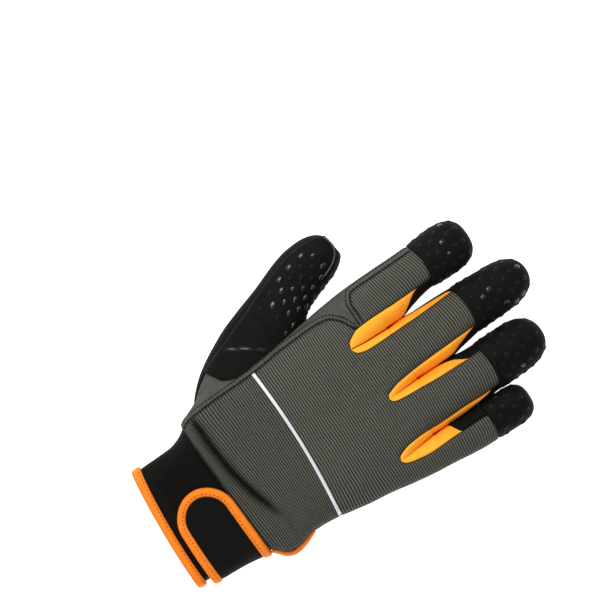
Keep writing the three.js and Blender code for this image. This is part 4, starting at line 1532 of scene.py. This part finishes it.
def jersey(start):
    threads = weave(start, 0.0012, 0.0010)
    tone = (threads * 0.4 + start.noise(900, 3) * 0.5).clamped()
    return {
        "Base Color": tone.colours((0.0018, 0.0018, 0.0015), (0.0052, 0.0054, 0.0045)),
        "Normal": start.bump(threads + start.noise(2500) * 0.5, 0.00002),
    }


def fuzz(start):
    hairs = start.noise(2100, 6, roughness=0.8)
    red = start.noise(5200, 1)
    tone = ((hairs - 0.35) * 2.0).clamped()
    base = tone.colours((0.0018, 0.0017, 0.0015), (0.0130, 0.0105, 0.0085))
    return {"Base Color": base, "Normal": start.bump(hairs + red * 0.2, 0.00012)}


DULL = {"roughness": 0.7, "specular_ior_level": 0.08}
finish("black", knit, **DULL)
finish("grip", pad, **DULL, coat_roughness=0.22)
finish("neoprene", jersey, **DULL)
finish("loop", fuzz, roughness=0.95, specular_ior_level=0.08)


# %% [markdown]
# ### Orange cloth and tape
# The gussets are a bright stretch knit that stays strongly orange even in the folds: the lower it lies in the
# slits, the darker and redder it is painted, as shade. The edge tape is woven: fine cross threads, and
# painted shade towards its edges, where it rolls down to the cloth.


# %% Orange
def stretch(start):
    threads = weave(start, 0.0007, 0.0006)
    height = start.node("ShaderNodeSeparateXYZ", None, {0: start.mark("pattern", 1)}, 2)
    # Painted shade in the slits: the lower the cloth lies, the darker and redder its colour.
    raised = ((height - 0.022) * 85).clamped()
    tone = (threads * 0.2 + start.noise(260, 2) * 0.4 + raised * 0.55 - 0.05).clamped()
    return {
        "Base Color": tone.colours((0.95, 0.230, 0.006), (1.0, 0.470, 0.040)),
        "Normal": start.bump(threads + start.noise(2400) * 0.5, 0.00002),
    }


def tape(start):
    threads = weave(start, 0.0011, 0.0008)
    cloud = start.noise(350, 3)
    # Painted shade: the tape is darker towards its edges, where it rolls down.
    tone = (threads * 0.35 + cloud * 0.6 + (start.mark("seam") * 0.6).clamped() * 0.25).clamped()
    return {
        "Base Color": tone.colours((0.60, 0.110, 0.006), (0.97, 0.255, 0.018)),
        "Normal": start.bump(threads + start.noise(2400) * 0.4, 0.00004),
    }


finish("orange", stretch, roughness=0.7, specular_ior_level=0.1)
finish("binding", tape, roughness=0.65, specular_ior_level=0.15)


# %% [markdown]
# ### Small parts
# The piping is a silver film over a cord, the badge and its disc are soft moulded plastic, the drops are
# black silicone, glossy or worn matt, and the threads are spun polyester.


# %% Film, plastic, silicone and thread
def film(start):
    # Painted glints: lighter specks in the film's colour stand in for its sparkle.
    painted_glint = start.noise(3000, 2)
    return {"Base Color": painted_glint.colours((0.52, 0.58, 0.61), (0.78, 0.83, 0.86))}


def moulded(dark, light):
    def recipe(start):
        grain = start.noise(1800, 3)
        return {"Base Color": grain.colours(dark, light), "Normal": start.bump(grain, 0.00002)}

    return recipe


def drop(start):
    cloud = start.noise(700, 2)
    return {"Base Color": cloud.colours((0.004, 0.004, 0.004), (0.008, 0.008, 0.008))}


def spun(dark, light):
    def recipe(start):
        return {"Base Color": start.noise(6000, 1).colours(dark, light)}

    return recipe


finish("reflective", film, roughness=0.35, metallic=0.15)
finish("badge", moulded((0.22, 0.22, 0.165), (0.36, 0.36, 0.28)), roughness=0.6)
finish("disc", moulded((0.085, 0.085, 0.085), (0.14, 0.14, 0.14)), roughness=0.45)
finish("silicone", drop, roughness=0.25, specular_ior_level=0.6)
finish("matt silicone", drop, roughness=0.5, specular_ior_level=0.1)
black = spun((0.002, 0.002, 0.002), (0.007, 0.007, 0.006))
grey = spun((0.07, 0.07, 0.062), (0.15, 0.15, 0.135))
orange = spun((0.30, 0.050, 0.003), (0.52, 0.100, 0.006))
finish("black thread", black, roughness=0.7, specular_ior_level=0.05)
finish("grey thread", grey, roughness=0.9, specular_ior_level=0.1)
finish("orange thread", orange, roughness=0.7, specular_ior_level=0.1)

# %% [markdown]
# ## Putting the glove together
# Every piece takes the place of the plain solid of its name, which is hidden, and gets the finish that the
# table below lists for it. Drops and stitches have no solid of their own; each set gets the finish of its
# kind.
# The whole glove is one body.

# %% Giving every piece its finish, its node and its body
SLOTS = {
    "ribbed": ["back_panel", "index_back_panel", "wrist_panel"],
    "suede": ["palm_panel", "thumb_palm", "pull_tab"],
    "black": [*SIDES, "thumb_back"],
    "orange": GUSSETS,
    "neoprene": ["cuff", "strap"],
    "binding": ["cuff_binding", "vent_binding", "strap_binding"],
    "reflective": ["reflective_piping"],
    "grip": [
        *(finger["name"] + "_fingertip" for finger in FINGERS),
        "thumb_patch",
        "thenar_patch",
        "palm_patch",
        "index_patch",
        "knuckle_patch",
    ],
    "loop": ["loop_patch"],
    "badge": ["tab_badge"],
    "disc": ["tab_disc"],
}
OWNER_SLOT = {name: slot for slot, names in SLOTS.items() for name in names}
for name, piece in PIECES.items():
    piece.data.materials.append(FINISHES[OWNER_SLOT[name]])
    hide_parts(name)
    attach(piece, "root")
for kind, parts in EXTRAS.items():
    for owner, part in parts:
        part.data.materials.append(FINISHES[kind])
        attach(part, "root")
print(len(PIECES), "pieces and", sum(len(parts) for parts in EXTRAS.values()), "sets of drops and stitches")

# %% [markdown]
# ## Table, light and camera
# A product photograph of a dark glove is taken straight from above on a shining white table, so nothing
# casts a shadow on it. Soft light comes from all round, with one broad lamp from the upper left that
# gives the drops their glints. The long lens keeps the outline free of perspective.


# %% The white table
def set_inputs(node, values):
    for key, value in values.items():
        node.inputs[key].default_value = value


floor_mesh = bpy.data.meshes.new("floor")
floor_mesh.from_pydata([(-3, -3, 0), (3, -3, 0), (3, 3, 0), (-3, 3, 0)], [], [(0, 1, 2, 3)])
floor = bpy.data.objects.new("floor", floor_mesh)
bpy.context.collection.objects.link(floor)
floor.location.z = -0.0002
white = bpy.data.materials.new("white table")
white.use_nodes = True
table = {"Base Color": (0.9, 0.9, 0.9, 1), "Roughness": 0.9}
glow = {"Emission Color": (1, 1, 1, 1), "Emission Strength": 1.0}
set_inputs(white.node_tree.nodes["Principled BSDF"], {**table, **glow})
floor_mesh.materials.append(white)

# %% Light from all round and two lamps
world = bpy.data.worlds.new("soft box")
bpy.context.scene.world = world
world.use_nodes = True
set_inputs(world.node_tree.nodes["Background"], {"Color": (1, 1, 1, 1), "Strength": 0.42})


def softbox(name, where, size, power):
    data = bpy.data.lights.new(name, "AREA")
    data.shape = "RECTANGLE"
    data.size, data.size_y = size
    data.energy = power
    made = bpy.data.objects.new(name, data)
    bpy.context.collection.objects.link(made)
    made.location = where
    made.rotation_euler = (Vector((-0.03, 0.0, 0.0)) - Vector(where)).to_track_quat("-Z", "Y").to_euler()
    return made


softbox("upper left light", (-0.55, 0.1, 0.75), (0.6, 0.6), 8)
softbox("lower light", (0.5, -0.4, 0.6), (0.5, 0.5), 2)

# %% The camera straight above
SENSOR = 36
CAMERA_HEIGHT = 2.0
FRAME_WIDTH = 0.336
camera_data = bpy.data.cameras.new("camera")
camera_data.sensor_width = SENSOR
camera_data.lens = SENSOR * CAMERA_HEIGHT / FRAME_WIDTH
camera = bpy.data.objects.new("camera", camera_data)
bpy.context.collection.objects.link(camera)
target = Vector((-0.04984, 0.01087, 0.022))
# The glove lies slanting in the frame, with its fingers to the upper right.
right, up = Vector((0.559, 0.829, 0)).normalized(), Vector((-0.829, 0.559, 0)).normalized()
camera.location = target + Vector((0, 0, CAMERA_HEIGHT))
rotation = Matrix((right, up, Vector((0, 0, 1)))).transposed()
camera.rotation_euler = rotation.to_euler()
bpy.context.scene.camera = camera
bpy.context.scene.view_settings.view_transform = "Standard"
